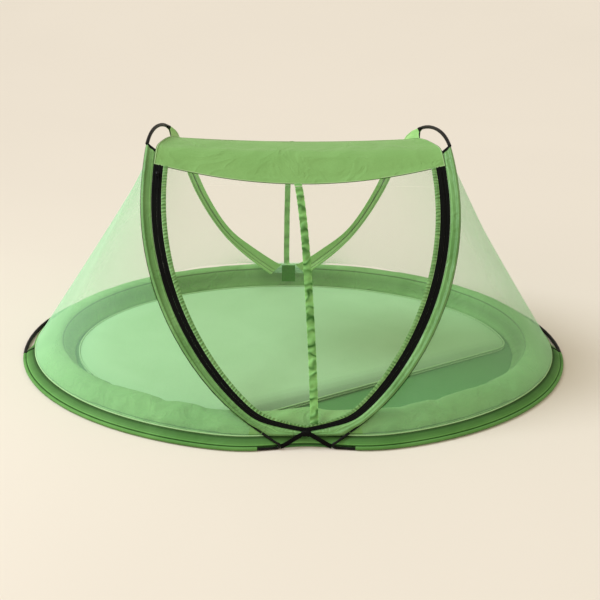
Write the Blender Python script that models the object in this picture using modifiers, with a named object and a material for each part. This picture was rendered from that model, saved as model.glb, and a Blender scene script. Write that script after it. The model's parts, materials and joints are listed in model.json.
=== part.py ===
import math

import bmesh
import bpy
import numpy as np
from mathutils import Matrix, Vector

# Mosquito net tent: a pop-up net shelter on an oval base. Metres, +Z up, ground at z = 0.
# X runs left to right, Y from the door to the back, origin under the middle of the base.

# Overall sizes
HALF_WIDTH = 1.0
HALF_DEPTH = 0.76
ARCH_HEIGHT = 0.8

# The base outline is an ellipse, drawn in a little where the hoops meet at the front
PINCH_DEPTH_SHARE = 0.0592
PINCH_WIDTH = 0.16

# Spring wire hoops and the fabric tubes round them
WIRE_RADIUS = 0.003
TUBE_RADIUS = 0.0065
BORE_RADIUS = 0.0042
RIM_HEIGHT = 0.0068
RIM_TURN = 3.75
LEAST_TURN = 0.4
FOOT_END = 0.16
FOOT_RADIUS = 0.0042
FOOT_BEND_RADIUS = 0.0085
FOLD_AT = 0.30
WING_GAP = 0.0088
GRIP_START_ANGLE = -3.0
GRIP_END_ANGLE = 19.0
GRIP_GAP_ANGLE = 0.15
WIRE_END_ANGLE = 0.4
TOP_GRIP_FRONT_ANGLE = -10.5
TOP_GRIP_BACK_ANGLE = 20.0

# Sewn strips, measured inwards from the arch wire
SLEEVE_WIDTH = 0.034
TAPE_WIDTH = 0.0145
COIL_WIDTH = 0.0045
COIL_HEIGHT = 0.003
INNER_TAPE_WIDTH = 0.0145
BINDING_WIDTH = 0.016
STRIP_GAP = 0.0004
FABRIC = 0.0012
NET = 0.0008
CLEARANCE = 0.0004

# Angles along an arch: -90 at the front bend, 0 at the top, 90 at the back end
ZIP_TOP_ANGLE = -22.0
DOOR_TOP_ANGLE = -28.0
ZIP_BOTTOM_ANGLE = -86.0
ZIP_CORNER_TURN = 2.6
FRONT_TOP_ANGLE = -21.0
LEG_ANGLES = [-24.0 - 3.0 * step for step in range(19)]
TOP_STEPS = 4
GRIP_STEPS = 8
SLEEVE_START_TURN = 0.9
SLEEVE_SEAM_ANGLE = -51.0
SEAM_GAP_ANGLE = 0.3
CORNER_STEPS = 5
STRIP_BOTTOM_TURN = 0.55
WIRE_FRONT_ANGLE = -86.3
FOOT_TOP_ANGLE = -85.1
FOOT_START_ANGLE = -86.55
LEAST_LEAN_SHARE = 0.05
WIRE_BACK_ANGLE = 87.4
TAB_ANGLES = [-84.8, -86.2, -87.4]
GUSSET_ANGLE = 84.2
BACK_ANGLES = [28.0 + 4.0 * step for step in range(13)]
BACK_SEAM_ANGLE = 52.0
PATCH_SEAM_ANGLE = 85.8

# Canopy
CANOPY_CORNER_ANGLE = -20.5
CANOPY_EDGE_DROP = 6.3
CANOPY_BACK_ANGLE = 24.0
CANOPY_SAG = 0.0127

# The roof is cut shorter than the arches, so its seams hang below them beside the handles
ROOF_DROP = 0.044
ROOF_CORNER_ANGLE = 12.0
ROOF_DROP_ANGLES = (-13.0, -6.0, 0.0, 6.0, 12.0, 20.0, 24.0, 28.0, 33.0, 38.0, 45.0)
ROOF_DROP_SHARES = (0.0, 0.6, 0.88, 0.98, 1.0, 0.93, 0.82, 0.66, 0.41, 0.18, 0.0)

# Base: floor, sloped rim flange, piping and the padded bumper wall
FLOOR_THICKNESS = 0.004
FLANGE_LEAN = 45.0
CHORD_SHARE = 0.8
CHORD_TURN = 3.0
PIPING_RADIUS = 0.0025
PIPING_INSET_SHARE = 0.0601
PIPING_HEIGHT = 0.0325
BUMPER_WIDTH_SHARE = 0.1868
BUMPER_GAP = 0.0013
BUMPER_STEPS = 64
BUMPER_HEIGHT_SHARE = 0.095

# Mat
MAT_GAP = 0.0105
MAT_THICKNESS = 0.024
MAT_CORNER_RADIUS = 0.03
MAT_STEPS = 60
MAT_PIPING_RADIUS = 0.003
MAT_CHORD_SHARES = ((-0.151, -0.684), (0.805, -0.0566))

# Side nets
NET_BACK_SHARE = 0.44
NET_WALL_GAP = 0.008
NET_WIRE_CLEARANCE = 0.0055
NET_CUT_BACK = 0.022
NET_CUT_SHARE = 0.919
NET_CUT_DEPTH = 0.03
NET_LAST_RIM_ANGLE = 88.2
NET_CLOSE_RIM_ANGLE = 89.8
NET_RISE_ANGLE = 52.0
NET_RISE_TURN = 26.0
NET_END_ANGLE = 84.0
NET_END_TURNS = 21

# Small pieces
STRAP_WIDTH = 0.014
STRAP_THICKNESS = 0.002
STRAP_RISE = 0.035
STRAP_TAPER_SHARE = 0.45
KNOT_LENGTH = 0.017
KNOT_RADIUS = 0.0075
KNOT_WIDTH_SHARE = 0.9
KNOT_DEPTH_SHARE = 0.8
KNOT_FORWARD = 0.014
STRIP_WIDTH = 0.027
DOOR_STRIP_TOP_X = -0.0095
DOOR_STRIP_FOOT_X = 0.0265
BACK_STRIP_WIDTH = 0.022
BACK_STRIP_X = -0.008
PATCH_WIDTH = 0.054
PATCH_THICKNESS = 0.003
SLIDER_LENGTH = 0.020
SLIDER_WIDTH = 0.011
SLIDER_THICKNESS = 0.005
SLIDER_EDGE = 0.0015
SLIDER_TAIL_SHARE = 0.72
SLIDER_GAP = 0.0009
SLIDER_ANGLE = -24.6
SLIDER_MIDDLE_ANGLE = -36.0
SLIDER_MIDDLE_LIFT = 0.001
SLIDER_END_ANGLE = -56.0
SLIDER_END_LIFT = 0.0
BRIDGE_RADIUS = 0.0008
BRIDGE_REACH = 0.003
PULL_LENGTH = 0.062
PULL_WIDTH = 0.011
PULL_EYE_RADIUS = 0.0045
PULL_RADIUS = 0.0012

# Shares of the half width, half depth and arch height along one arch, front bend to back end
ARCH_WIDTH_SHARES = (0.091, 0.253, 0.388, 0.482, 0.533, 0.550, 0.546, 0.537, 0.522,
                     0.498, 0.471, 0.447, 0.423, 0.387, 0.320, 0.205, 0.023)
ARCH_DEPTH_SHARES = (-0.937, -0.828, -0.676, -0.514, -0.353, -0.199, -0.058, 0.072, 0.208,
                     0.368, 0.526, 0.662, 0.759, 0.811, 0.820, 0.789, 0.728)
ARCH_HEIGHT_SHARES = (0.019, 0.133, 0.286, 0.463, 0.638, 0.790, 0.904, 0.974, 0.998,
                      0.979, 0.920, 0.825, 0.699, 0.549, 0.381, 0.208, 0.048)

# Bumper section: shares of its width inwards and of its height upwards
BUMPER_SECTION_SHARES = ((0.0, 0.0), (-0.012, 0.30), (0.10, 0.68), (0.27, 0.93), (0.45, 1.0),
                         (0.64, 0.90), (0.80, 0.62), (0.94, 0.26), (1.0, 0.0))

BUMPER_ACROSS_SHARES = (-0.05, -0.012, 0.10, 0.27, 0.45, 0.64, 0.80, 0.94, 1.0)

# Ways of finishing
SHARP_ANGLE = 40.0
BEVEL_ANGLE = 60.0
WELD_DISTANCE = 0.0001

# Places that follow from the sizes above
PIPING_INSET = PIPING_INSET_SHARE * HALF_DEPTH
CHORD_INSET = CHORD_SHARE * PIPING_INSET
BUMPER_WIDTH = BUMPER_WIDTH_SHARE * HALF_DEPTH
BUMPER_HEIGHT = BUMPER_HEIGHT_SHARE * ARCH_HEIGHT
FOOT_NOSE = ARCH_WIDTH_SHARES[0] * HALF_WIDTH - FOOT_RADIUS
WING_START = FOLD_AT + WING_GAP
TUBE_SIDE = math.sqrt(TUBE_RADIUS ** 2 - (RIM_HEIGHT - FLOOR_THICKNESS) ** 2)
FLOOR_INSET = TUBE_RADIUS + TUBE_SIDE + CLEARANCE
TUBE_REACH = TUBE_RADIUS + FABRIC / 2.0 + CLEARANCE
PIPING_REACH = PIPING_RADIUS + FABRIC / 2.0 + CLEARANCE
LEAN_ACROSS = math.cos(math.radians(FLANGE_LEAN))
LEAN_UP = math.sin(math.radians(FLANGE_LEAN))
FLANGE_OUTER_INSET = TUBE_RADIUS + TUBE_REACH * LEAN_ACROSS
FLANGE_OUTER_HEIGHT = RIM_HEIGHT + TUBE_REACH * LEAN_UP
FLANGE_INNER_INSET = PIPING_INSET - PIPING_REACH * LEAN_ACROSS
FLANGE_INNER_HEIGHT = PIPING_HEIGHT - PIPING_REACH * LEAN_UP
BUMPER_OUTER_INSET = PIPING_INSET + PIPING_RADIUS + BUMPER_GAP
BUMPER_FOOT_HEIGHT = FLOOR_THICKNESS + CLEARANCE
MAT_INSET = BUMPER_OUTER_INSET + BUMPER_WIDTH + MAT_GAP
NET_BACK_INSET = BUMPER_OUTER_INSET + NET_BACK_SHARE * BUMPER_WIDTH
NET_CUT_HEIGHT = NET_CUT_SHARE * ARCH_HEIGHT
NET_SEAM_HEIGHT = PIPING_HEIGHT + PIPING_RADIUS + NET / 2.0 + CLEARANCE

COLOURS = {
    "canopy_green": ((0.24, 0.47, 0.14), 0.62, 0.0),
    "sleeve_green": ((0.13, 0.34, 0.08), 0.60, 0.0),
    "bumper_green": ((0.27, 0.52, 0.19), 0.65, 0.0),
    "floor_green": ((0.12, 0.31, 0.10), 0.70, 0.0),
    "mat_green": ((0.36, 0.63, 0.30), 0.75, 0.0),
    "piping_green": ((0.42, 0.66, 0.30), 0.55, 0.0),
    "patch_green": ((0.05, 0.17, 0.03), 0.75, 0.0),
    "net": ((0.72, 0.84, 0.66), 0.80, 0.0),
    "black_grip": ((0.012, 0.012, 0.013), 0.45, 0.0),
    "black_wire": ((0.015, 0.015, 0.016), 0.35, 0.6),
    "black_zip": ((0.010, 0.010, 0.011), 0.60, 0.0),
}


def clear_scene():
    for item in list(bpy.data.objects):
        bpy.data.objects.remove(item, do_unlink=True)


def make_material(name):
    colour, roughness, metallic = COLOURS[name]
    material = bpy.data.materials.new(name)
    material.use_nodes = True
    shader = material.node_tree.nodes["Principled BSDF"]
    shader.inputs["Base Color"].default_value = (*colour, 1.0)
    shader.inputs["Roughness"].default_value = roughness
    shader.inputs["Metallic"].default_value = metallic
    return material


def second_slopes(values):
    """Second derivatives of the natural cubic spline through evenly spaced values."""
    count = len(values)
    matrix = np.eye(count)
    right = np.zeros(count)
    for i in range(1, count - 1):
        matrix[i, i - 1:i + 2] = (1.0, 4.0, 1.0)
        right[i] = 6.0 * (values[i - 1] - 2.0 * values[i] + values[i + 1])
    return np.linalg.solve(matrix, right)


def spline_at(values, slopes, position):
    """Value of that spline at a position counted in table steps."""
    i = int(min(max(math.floor(position), 0), len(values) - 2))
    u = position - i
    v = 1.0 - u
    straight = v * values[i] + u * values[i + 1]
    return straight + ((v ** 3 - v) * slopes[i] + (u ** 3 - u) * slopes[i + 1]) / 6.0


ARCH_TABLE = [
    np.array(ARCH_WIDTH_SHARES) * HALF_WIDTH,
    np.array(ARCH_DEPTH_SHARES) * HALF_DEPTH,
    np.array(ARCH_HEIGHT_SHARES) * ARCH_HEIGHT,
]
ARCH_SLOPES = [second_slopes(values) for values in ARCH_TABLE]


def arch_point(angle, inwards=0.0):
    """Point of the right arch, moved along X towards the middle."""
    step = 180.0 / (len(ARCH_WIDTH_SHARES) - 1)
    position = (angle + 90.0) / step
    x, y, z = (spline_at(v, s, position) for v, s in zip(ARCH_TABLE, ARCH_SLOPES))
    return Vector((x - inwards, y, z))


def arch_direction(angle):
    return (arch_point(angle + 0.5) - arch_point(angle - 0.5)).normalized()


def face_normal(angle):
    """Outward normal of the cloth that is stretched from arch to arch."""
    run = arch_direction(angle)
    return Vector((0.0, -run.z, run.y)).normalized()


def roof_drop(angle):
    """How far the roof and its seams lie below the arches."""
    return ROOF_DROP * float(np.interp(angle, ROOF_DROP_ANGLES, ROOF_DROP_SHARES))


def sleeve_seam(angle):
    """Inner edge of a sleeve, lowered with the roof, and drawn out by the cloth's slope there."""
    drop = roof_drop(angle)
    reach = SLEEVE_WIDTH - STRIP_GAP - FABRIC * drop / ROOF_DROP / 2.0
    return arch_point(angle, reach) - face_normal(angle) * drop


def wire_side(angle):
    """How far in along X the cloth starts, so that it clears the wire."""
    run = arch_direction(angle)
    lean = math.sqrt(max(1.0 - run.x ** 2, LEAST_LEAN_SHARE))
    radius = FOOT_RADIUS if angle < FOOT_TOP_ANGLE else WIRE_RADIUS
    return (radius + 1.5 * CLEARANCE) / lean


def rim_point(angle, inset, height):
    """Point on the base outline, moved inwards by the inset."""
    c, s = math.cos(math.radians(angle)), math.sin(math.radians(angle))
    outward = Vector((c / HALF_WIDTH, s / HALF_DEPTH)).normalized()
    x = HALF_WIDTH * c - inset * outward.x
    y = HALF_DEPTH * s - inset * outward.y
    if y < 0.0:
        y *= 1.0 - PINCH_DEPTH_SHARE * math.exp(-(x / PINCH_WIDTH) ** 2)
    return Vector((x, y, height))


def rim_corner(angle, inset, height):
    """Point on the even-sided outline that every rim piece follows."""
    low = math.floor(angle / RIM_TURN) * RIM_TURN
    share = (angle - low) / RIM_TURN
    first = rim_point(low, inset, height)
    return first.lerp(rim_point(low + RIM_TURN, inset, height), share)


def rim_line(start, end, inset, height):
    """Line round part of the base through the corners of that outline."""
    first = math.floor(start / RIM_TURN) + 1
    last = math.ceil(end / RIM_TURN) - 1
    angles = [start] + [k * RIM_TURN for k in range(first, last + 1)] + [end]
    kept = [a for a in angles[1:-1] if a - start > LEAST_TURN and end - a > LEAST_TURN]
    return [rim_corner(a, inset, height) for a in [start] + kept + [end]]


def whole_rim():
    return [k * RIM_TURN for k in range(round(360.0 / RIM_TURN))]


def rim_angle(x):
    """Angle of the outline, behind the middle, at which a rim tube is x from the middle."""
    angle = math.acos(x / HALF_WIDTH)
    for _ in range(4):
        outward = Vector((math.cos(angle) / HALF_WIDTH, math.sin(angle) / HALF_DEPTH)).normalized()
        angle = math.acos((x + TUBE_RADIUS * outward.x) / HALF_WIDTH)
    return math.degrees(angle)


def ease(value):
    value = min(max(value, 0.0), 1.0)
    return value * value * (3.0 - 2.0 * value)


def steps(start, end, count):
    return [start + (end - start) * i / (count - 1) for i in range(count)]


def mirrored(points):
    return [Vector((-p.x, p.y, p.z)) for p in points]


def finish(item, material):
    item.data.materials.append(material)
    if item.type == "MESH":
        item.data.shade_smooth()
        item.data.set_sharp_from_angle(angle=math.radians(SHARP_ANGLE))
    return item


def mesh_object(name, mesh):
    item = bpy.data.objects.new(name, mesh)
    PARTS.objects.link(item)
    return item


def loft(name, rows, material, thickness=0.0, closed=False):
    """Cloth drawn through rows of points; closed joins the last row and column to the first."""
    mesh = bpy.data.meshes.new(name)
    bm = bmesh.new()
    grid = [[bm.verts.new(p) for p in row] for row in rows]
    row_count, column_count = len(grid), len(grid[0])
    for i in range(row_count if closed else row_count - 1):
        for j in range(column_count if closed else column_count - 1):
            a, b = grid[i], grid[(i + 1) % row_count]
            k = (j + 1) % column_count
            bm.faces.new((a[j], b[j], b[k], a[k]))
    bmesh.ops.recalc_face_normals(bm, faces=bm.faces)
    bm.to_mesh(mesh)
    bm.free()
    item = mesh_object(name, mesh)
    if thickness > 0.0:
        thicken(item, thickness)
    return finish(item, material)


def ring_loft(name, rows, material, thickness):
    """Open strip that closes on itself round the base."""
    mesh = bpy.data.meshes.new(name)
    bm = bmesh.new()
    grid = [[bm.verts.new(p) for p in row] for row in rows]
    for i, row in enumerate(grid):
        after = grid[(i + 1) % len(grid)]
        for j in range(len(row) - 1):
            bm.faces.new((row[j], after[j], after[j + 1], row[j + 1]))
    bmesh.ops.recalc_face_normals(bm, faces=bm.faces)
    bm.to_mesh(mesh)
    bm.free()
    item = mesh_object(name, mesh)
    thicken(item, thickness)
    return finish(item, material)


def thicken(item, thickness):
    solid = item.modifiers.new("thickness", "SOLIDIFY")
    solid.thickness = thickness
    solid.offset = 0.0
    solid.use_even_offset = True


def curve_object(name, points, closed=False):
    curve = bpy.data.curves.new(name, "CURVE")
    curve.dimensions = "3D"
    line = curve.splines.new("POLY")
    line.points.add(len(points) - 1)
    for point, place in zip(line.points, points):
        point.co = (*place, 1.0)
    line.use_cyclic_u = closed
    item = bpy.data.objects.new(name, curve)
    PARTS.objects.link(item)
    return item


def rod(name, points, radius, material, closed=False, sides=2):
    item = curve_object(name, points, closed)
    item.data.bevel_depth = radius
    item.data.bevel_resolution = sides
    item.data.use_fill_caps = not closed
    return finish(item, material)


def pipe(name, points, material):
    """Fabric or rubber tube with a bore for the wire."""
    path = curve_object(name + "_path", points)
    path.data.bevel_depth = (TUBE_RADIUS + BORE_RADIUS) / 2.0
    path.data.bevel_resolution = 2
    bpy.context.view_layer.update()
    shape = path.evaluated_get(bpy.context.evaluated_depsgraph_get())
    mesh = bpy.data.meshes.new_from_object(shape)
    mesh.name = name
    item = mesh_object(name, mesh)
    item.matrix_world = path.matrix_world.copy()
    bpy.data.objects.remove(path, do_unlink=True)
    thicken(item, TUBE_RADIUS - BORE_RADIUS)
    return finish(item, material)


def flat_outline(name, points, height, thickness, bevel, material):
    """Filled flat outline with its underside at the given height."""
    item = curve_object(name, [Vector((p.x, p.y, 0.0)) for p in points], closed=True)
    item.data.dimensions = "2D"
    item.data.fill_mode = "BOTH"
    item.data.extrude = thickness / 2.0
    item.location.z = height + thickness / 2.0
    if bevel > 0.0:
        weld = item.modifiers.new("weld", "WELD")
        weld.merge_threshold = WELD_DISTANCE
        edge = item.modifiers.new("edge", "BEVEL")
        edge.width = bevel
        edge.segments = 2
        edge.limit_method = "ANGLE"
        edge.angle_limit = math.radians(BEVEL_ANGLE)
    return finish(item, material)


def hinge(name, place):
    """Empty on a joint's axis, for the moving pieces to hang from."""
    item = bpy.data.objects.new(name, None)
    item.empty_display_size = 0.1 * HALF_WIDTH
    item.location = place
    PARTS.objects.link(item)
    return item


def hang_on(empty, items):
    bpy.context.view_layer.update()
    for item in items:
        item.parent = empty
        item.matrix_parent_inverse = empty.matrix_world.inverted()


def leg_angles(top, corner):
    """Angles down one side of the zip, the same for every strip beside it."""
    return [top] + [a for a in LEG_ANGLES if a < top - 1.0] + [corner]


def zip_rail(inwards, bottom, top=ZIP_TOP_ANGLE, middle=0.0):
    """Right half of the U that the zip follows, from the top to the middle of the bottom."""
    corner = bottom + ZIP_CORNER_TURN
    line = [arch_point(a, inwards) for a in leg_angles(top, corner)]
    reach = line[-1].x
    for share in steps(0.0, 1.0, CORNER_STEPS + 1)[1:]:
        point = arch_point(corner + (bottom - corner) * ease(share))
        line.append(Vector((reach + (middle - reach) * share, point.y, point.z)))
    return line


def u_strip(name, start, width, material, top, thickness=FABRIC):
    """Strip of the U between two rails, left top to right top."""
    turn = STRIP_BOTTOM_TURN / INNER_TAPE_WIDTH
    reach = start - SLEEVE_WIDTH
    outer = zip_rail(start, ZIP_BOTTOM_ANGLE + reach * turn, top=top)
    inner = zip_rail(start + width, ZIP_BOTTOM_ANGLE + (reach + width) * turn, top=top)
    rows = []
    for a, b in zip(outer, inner):
        rows.append([a, b])
    left = [mirrored(row) for row in rows]
    return loft(name, left + rows[-2::-1], material, thickness)


def build_hoops(side, materials):
    """One arch: wire, grip, and the green sleeve in four panels."""
    tag = "right" if side > 0 else "left"
    turn = (lambda line: line) if side > 0 else mirrored
    made = []
    wire = [arch_point(a) for a in wire_angles()]
    made.append(rod(f"arch_wire_{tag}", turn(wire), WIRE_RADIUS, materials["black_wire"]))
    grip = [arch_point(a) for a in steps(TOP_GRIP_FRONT_ANGLE, TOP_GRIP_BACK_ANGLE, 14)]
    made.append(pipe(f"arch_grip_{tag}", turn(grip), materials["black_grip"]))

    reach = SLEEVE_WIDTH - STRIP_GAP
    angles = top_angles(FRONT_TOP_ANGLE, TOP_STEPS)
    angles += [a for a in LEG_ANGLES if a >= SLEEVE_SEAM_ANGLE]
    rows = [[arch_point(a, wire_side(a)), sleeve_seam(a)] for a in angles]
    made.append(loft(f"front_sleeve_upper_{tag}", [turn(r) for r in rows],
                     materials["sleeve_green"], FABRIC))

    top = SLEEVE_SEAM_ANGLE - SEAM_GAP_ANGLE
    stop = KNOT_RADIUS + 2.0 * CLEARANCE
    inner = zip_rail(reach, ZIP_BOTTOM_ANGLE - SEAM_GAP_ANGLE / 2.0, top, stop)
    angles = leg_angles(top, ZIP_BOTTOM_ANGLE + ZIP_CORNER_TURN) + TAB_ANGLES
    outer = [arch_point(a, wire_side(a)) for a in angles]
    end = outer[-1]
    outer.append(Vector(((end.x + stop) / 2.0, end.y, end.z)))
    outer.append(Vector((stop, end.y, end.z)))
    rows = [[a, b] for a, b in zip(outer, inner)]
    made.append(loft(f"front_sleeve_lower_{tag}", [turn(r) for r in rows],
                     materials["sleeve_green"], FABRIC))

    regular = [a for a in BACK_ANGLES if a <= BACK_SEAM_ANGLE]
    outer = top_angles(CANOPY_BACK_ANGLE, TOP_STEPS) + regular
    inner = steps(ROOF_CORNER_ANGLE, CANOPY_BACK_ANGLE, TOP_STEPS) + regular
    rows = [[arch_point(a, wire_side(a)), sleeve_seam(b)] for a, b in zip(outer, inner)]
    made.append(loft(f"back_sleeve_upper_{tag}", [turn(r) for r in rows],
                     materials["sleeve_green"], FABRIC))

    top = BACK_SEAM_ANGLE + SEAM_GAP_ANGLE
    inner = back_rail(reach, top)
    angles = [top] + [a for a in BACK_ANGLES if a > top + 1.0]
    corner_angles = steps(BACK_ANGLES[-1], WIRE_BACK_ANGLE, CORNER_STEPS + 1)[1:]
    angles += corner_angles
    outer = [arch_point(a, wire_side(a)) for a in angles]
    foot = arch_point(WIRE_BACK_ANGLE)
    outer.append(Vector(((outer[-1].x + inner[-1].x) / 2.0, foot.y, foot.z)))
    outer.append(Vector((inner[-1].x + FABRIC, foot.y, foot.z)))
    for a in (PATCH_SEAM_ANGLE, WIRE_BACK_ANGLE - SEAM_GAP_ANGLE):
        place = arch_point(a)
        inner.append(Vector((inner[-1].x, place.y, place.z)))
    rows = [[a, b] for a, b in zip(outer, inner)]
    made.append(loft(f"back_sleeve_lower_{tag}", [turn(r) for r in rows],
                     materials["sleeve_green"], FABRIC))
    return made


def top_angles(last, count):
    """Angles over one half of the top, from a grip's end to where the regular ones start."""
    front, back = TOP_GRIP_FRONT_ANGLE - SEAM_GAP_ANGLE, TOP_GRIP_BACK_ANGLE + SLEEVE_START_TURN
    return steps(front if last < 0.0 else back, last, count)


def wire_angles():
    """The sleeves' own angles, so that the wire keeps an even distance from the cloth."""
    corner = ZIP_BOTTOM_ANGLE + ZIP_CORNER_TURN
    front = [WIRE_FRONT_ANGLE, TAB_ANGLES[0], corner] + LEG_ANGLES[::-1]
    before = top_angles(FRONT_TOP_ANGLE, TOP_STEPS)[::-1]
    after = top_angles(CANOPY_BACK_ANGLE, TOP_STEPS)
    top = before + steps(before[-1], after[0], GRIP_STEPS)[1:-1] + after
    back = BACK_ANGLES + steps(BACK_ANGLES[-1], WIRE_BACK_ANGLE, CORNER_STEPS + 1)[1:]
    return front + top + back


def back_rail_angles(top):
    angles = [top] + [a for a in BACK_ANGLES if a > top + 1.0]
    corner = BACK_ANGLES[-1]
    turned = [corner + (GUSSET_ANGLE - corner) * ease(share)
              for share in steps(0.0, 1.0, CORNER_STEPS + 1)[1:]]
    return angles, turned


def back_rail(inwards, top):
    """Inner edge of the back sleeve, which widens into a gusset beside the patch."""
    angles, turned = back_rail_angles(top)
    line = [arch_point(a, inwards) for a in angles]
    reach = line[-1].x
    stop = PATCH_WIDTH / 2.0 + STRIP_GAP
    for i, a in enumerate(turned):
        point = arch_point(a)
        line.append(Vector((reach + (stop - reach) * (i + 1) / len(turned), point.y, point.z)))
    return line


def canopy_front(x):
    """Angle of the canopy's front edge at a distance from the middle."""
    share = x / arch_point(CANOPY_CORNER_ANGLE, SLEEVE_WIDTH + STRIP_GAP).x
    return CANOPY_CORNER_ANGLE - CANOPY_EDGE_DROP * (1.0 - share * share)


def build_canopy(materials):
    rows = []
    for share in steps(-1.0, 1.0, 13):
        row = []
        for angle in steps(0.0, 1.0, 17):
            front = canopy_front(share * arch_point(CANOPY_CORNER_ANGLE, SLEEVE_WIDTH).x)
            a = front * (1.0 - angle) + CANOPY_BACK_ANGLE * angle
            point = arch_point(a, SLEEVE_WIDTH + STRIP_GAP)
            drop = roof_drop(a) + CANOPY_SAG * (1.0 - share * share)
            place = Vector((point.x * share, point.y, point.z))
            row.append(place - face_normal(a) * drop)
        rows.append(row)
    return loft("canopy", rows, materials["canopy_green"], FABRIC)


def build_header_net(materials):
    """Fixed net between the canopy's curved edge and the line that the door hangs from."""
    rows = []
    edge = SLEEVE_WIDTH + TAPE_WIDTH + COIL_WIDTH + 2.0 * STRIP_GAP
    for share in steps(-1.0, 1.0, 13):
        row = []
        upper = canopy_front(share * arch_point(CANOPY_CORNER_ANGLE, edge).x) - SEAM_GAP_ANGLE
        for angle in steps(0.0, 1.0, 4):
            a = upper * (1.0 - angle) + (DOOR_TOP_ANGLE + SEAM_GAP_ANGLE / 2.0) * angle
            point = arch_point(a, edge)
            sag = CANOPY_SAG * (1.0 - share * share) * (1.0 - angle)
            place = Vector((point.x * share, point.y, point.z))
            row.append(place - face_normal(a) * sag)
        rows.append(row)
    return loft("header_net", rows, materials["net"], NET)


def build_zip(materials):
    start = SLEEVE_WIDTH
    tape = u_strip("zip_tape_outer", start, TAPE_WIDTH, materials["black_zip"],
                   ZIP_TOP_ANGLE)
    start += TAPE_WIDTH + STRIP_GAP
    coil = u_strip("zip_coil", start, COIL_WIDTH, materials["black_zip"],
                   ZIP_TOP_ANGLE, COIL_HEIGHT)
    return [tape, coil]


def build_door(materials):
    made = []
    start = SLEEVE_WIDTH + TAPE_WIDTH + COIL_WIDTH + 2.0 * STRIP_GAP
    made.append(u_strip("zip_tape_inner", start, INNER_TAPE_WIDTH, materials["black_zip"],
                        DOOR_TOP_ANGLE))
    start += INNER_TAPE_WIDTH + STRIP_GAP
    made.append(u_strip("door_binding", start, BINDING_WIDTH, materials["sleeve_green"],
                        DOOR_TOP_ANGLE))
    start += BINDING_WIDTH + STRIP_GAP
    turn = STRIP_BOTTOM_TURN / INNER_TAPE_WIDTH
    bottom = ZIP_BOTTOM_ANGLE + (start - SLEEVE_WIDTH) * turn
    rail = zip_rail(start, bottom, top=DOOR_TOP_ANGLE)
    rail[-1].x = STRIP_GAP
    rows = []
    for point in rail:
        rows.append([Vector((point.x * s, point.y, point.z)) for s in steps(-1.0, 1.0, 7)])
    made.append(loft("door_net", rows, materials["net"], NET))
    rows = []
    lift = (FABRIC + NET) / 2.0 + CLEARANCE
    top = DOOR_TOP_ANGLE - SEAM_GAP_ANGLE
    for a in leg_angles(top, bottom + ZIP_CORNER_TURN) + [bottom + SEAM_GAP_ANGLE]:
        share = (a - DOOR_TOP_ANGLE) / (bottom - DOOR_TOP_ANGLE)
        middle = DOOR_STRIP_TOP_X * (1.0 - share) + DOOR_STRIP_FOOT_X * share
        place = arch_point(a) + face_normal(a) * lift
        rows.append([Vector((middle + side * STRIP_WIDTH / 2.0, place.y, place.z))
                     for side in (-1.0, 1.0)])
    made.append(loft("door_strip", rows, materials["sleeve_green"], FABRIC))
    return made


def back_drop(angle, share):
    """How far the back net lies below the arches, easing out below the roof's back edge."""
    last = ROOF_DROP_ANGLES[-1]
    sag = max(last - angle, 0.0) / (last - CANOPY_BACK_ANGLE)
    return roof_drop(angle) + CANOPY_SAG * (1.0 - share * share) * sag


def build_back(materials):
    made = []
    top = CANOPY_BACK_ANGLE + SEAM_GAP_ANGLE
    angles, turned = back_rail_angles(top)
    rows = []
    for a, point in zip(angles + turned, back_rail(SLEEVE_WIDTH + STRIP_GAP, top)):
        rows.append([Vector((point.x * s, point.y, point.z)) - face_normal(a) * back_drop(a, s)
                     for s in steps(-1.0, 1.0, 7)])
    made.append(loft("back_net", rows, materials["net"], NET))

    lift = (FABRIC + NET) / 2.0 + CLEARANCE
    rows = []
    for a in angles + turned[:-1]:
        place = arch_point(a) + face_normal(a) * (lift - back_drop(a, 0.0))
        rows.append([Vector((BACK_STRIP_X + side * BACK_STRIP_WIDTH / 2.0, place.y, place.z))
                     for side in (-1.0, 1.0)])
    made.append(loft("back_strip", rows, materials["sleeve_green"], FABRIC))

    rows = []
    for a in steps(GUSSET_ANGLE + SEAM_GAP_ANGLE, 90.0, 4):
        place = arch_point(a)
        rows.append([Vector((side * PATCH_WIDTH / 2.0, place.y, place.z))
                     for side in (-1.0, 1.0)])
    made.append(loft("back_patch", rows, materials["patch_green"], PATCH_THICKNESS))
    return made


def build_front_foot(side, material):
    """Wire bend at the front, in its black tube: along the base, round, and up the arch."""
    tag = "right" if side > 0 else "left"
    turn = (lambda line: line) if side > 0 else mirrored
    low = []
    for x in steps(FOOT_END, FOOT_NOSE + FOOT_BEND_RADIUS, 5):
        point = rim_point(-rim_angle(x), TUBE_RADIUS, FOOT_RADIUS + CLEARANCE)
        low.append(Vector((x, point.y, point.z)))
    centre = low[-1] + Vector((0.0, 0.0, FOOT_BEND_RADIUS))
    bend = []
    for turned in steps(-90.0, 90.0, 9)[1:]:
        angle = math.radians(turned)
        bend.append(centre + Vector((-math.cos(angle), 0.0, math.sin(angle))) * FOOT_BEND_RADIUS)
    top = arch_point(FOOT_START_ANGLE)
    rise = [bend[-1].lerp(top, share) for share in steps(0.0, 1.0, 4)[1:]]
    return rod(f"front_foot_{tag}", turn(low + bend + rise), FOOT_RADIUS, material)


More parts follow.
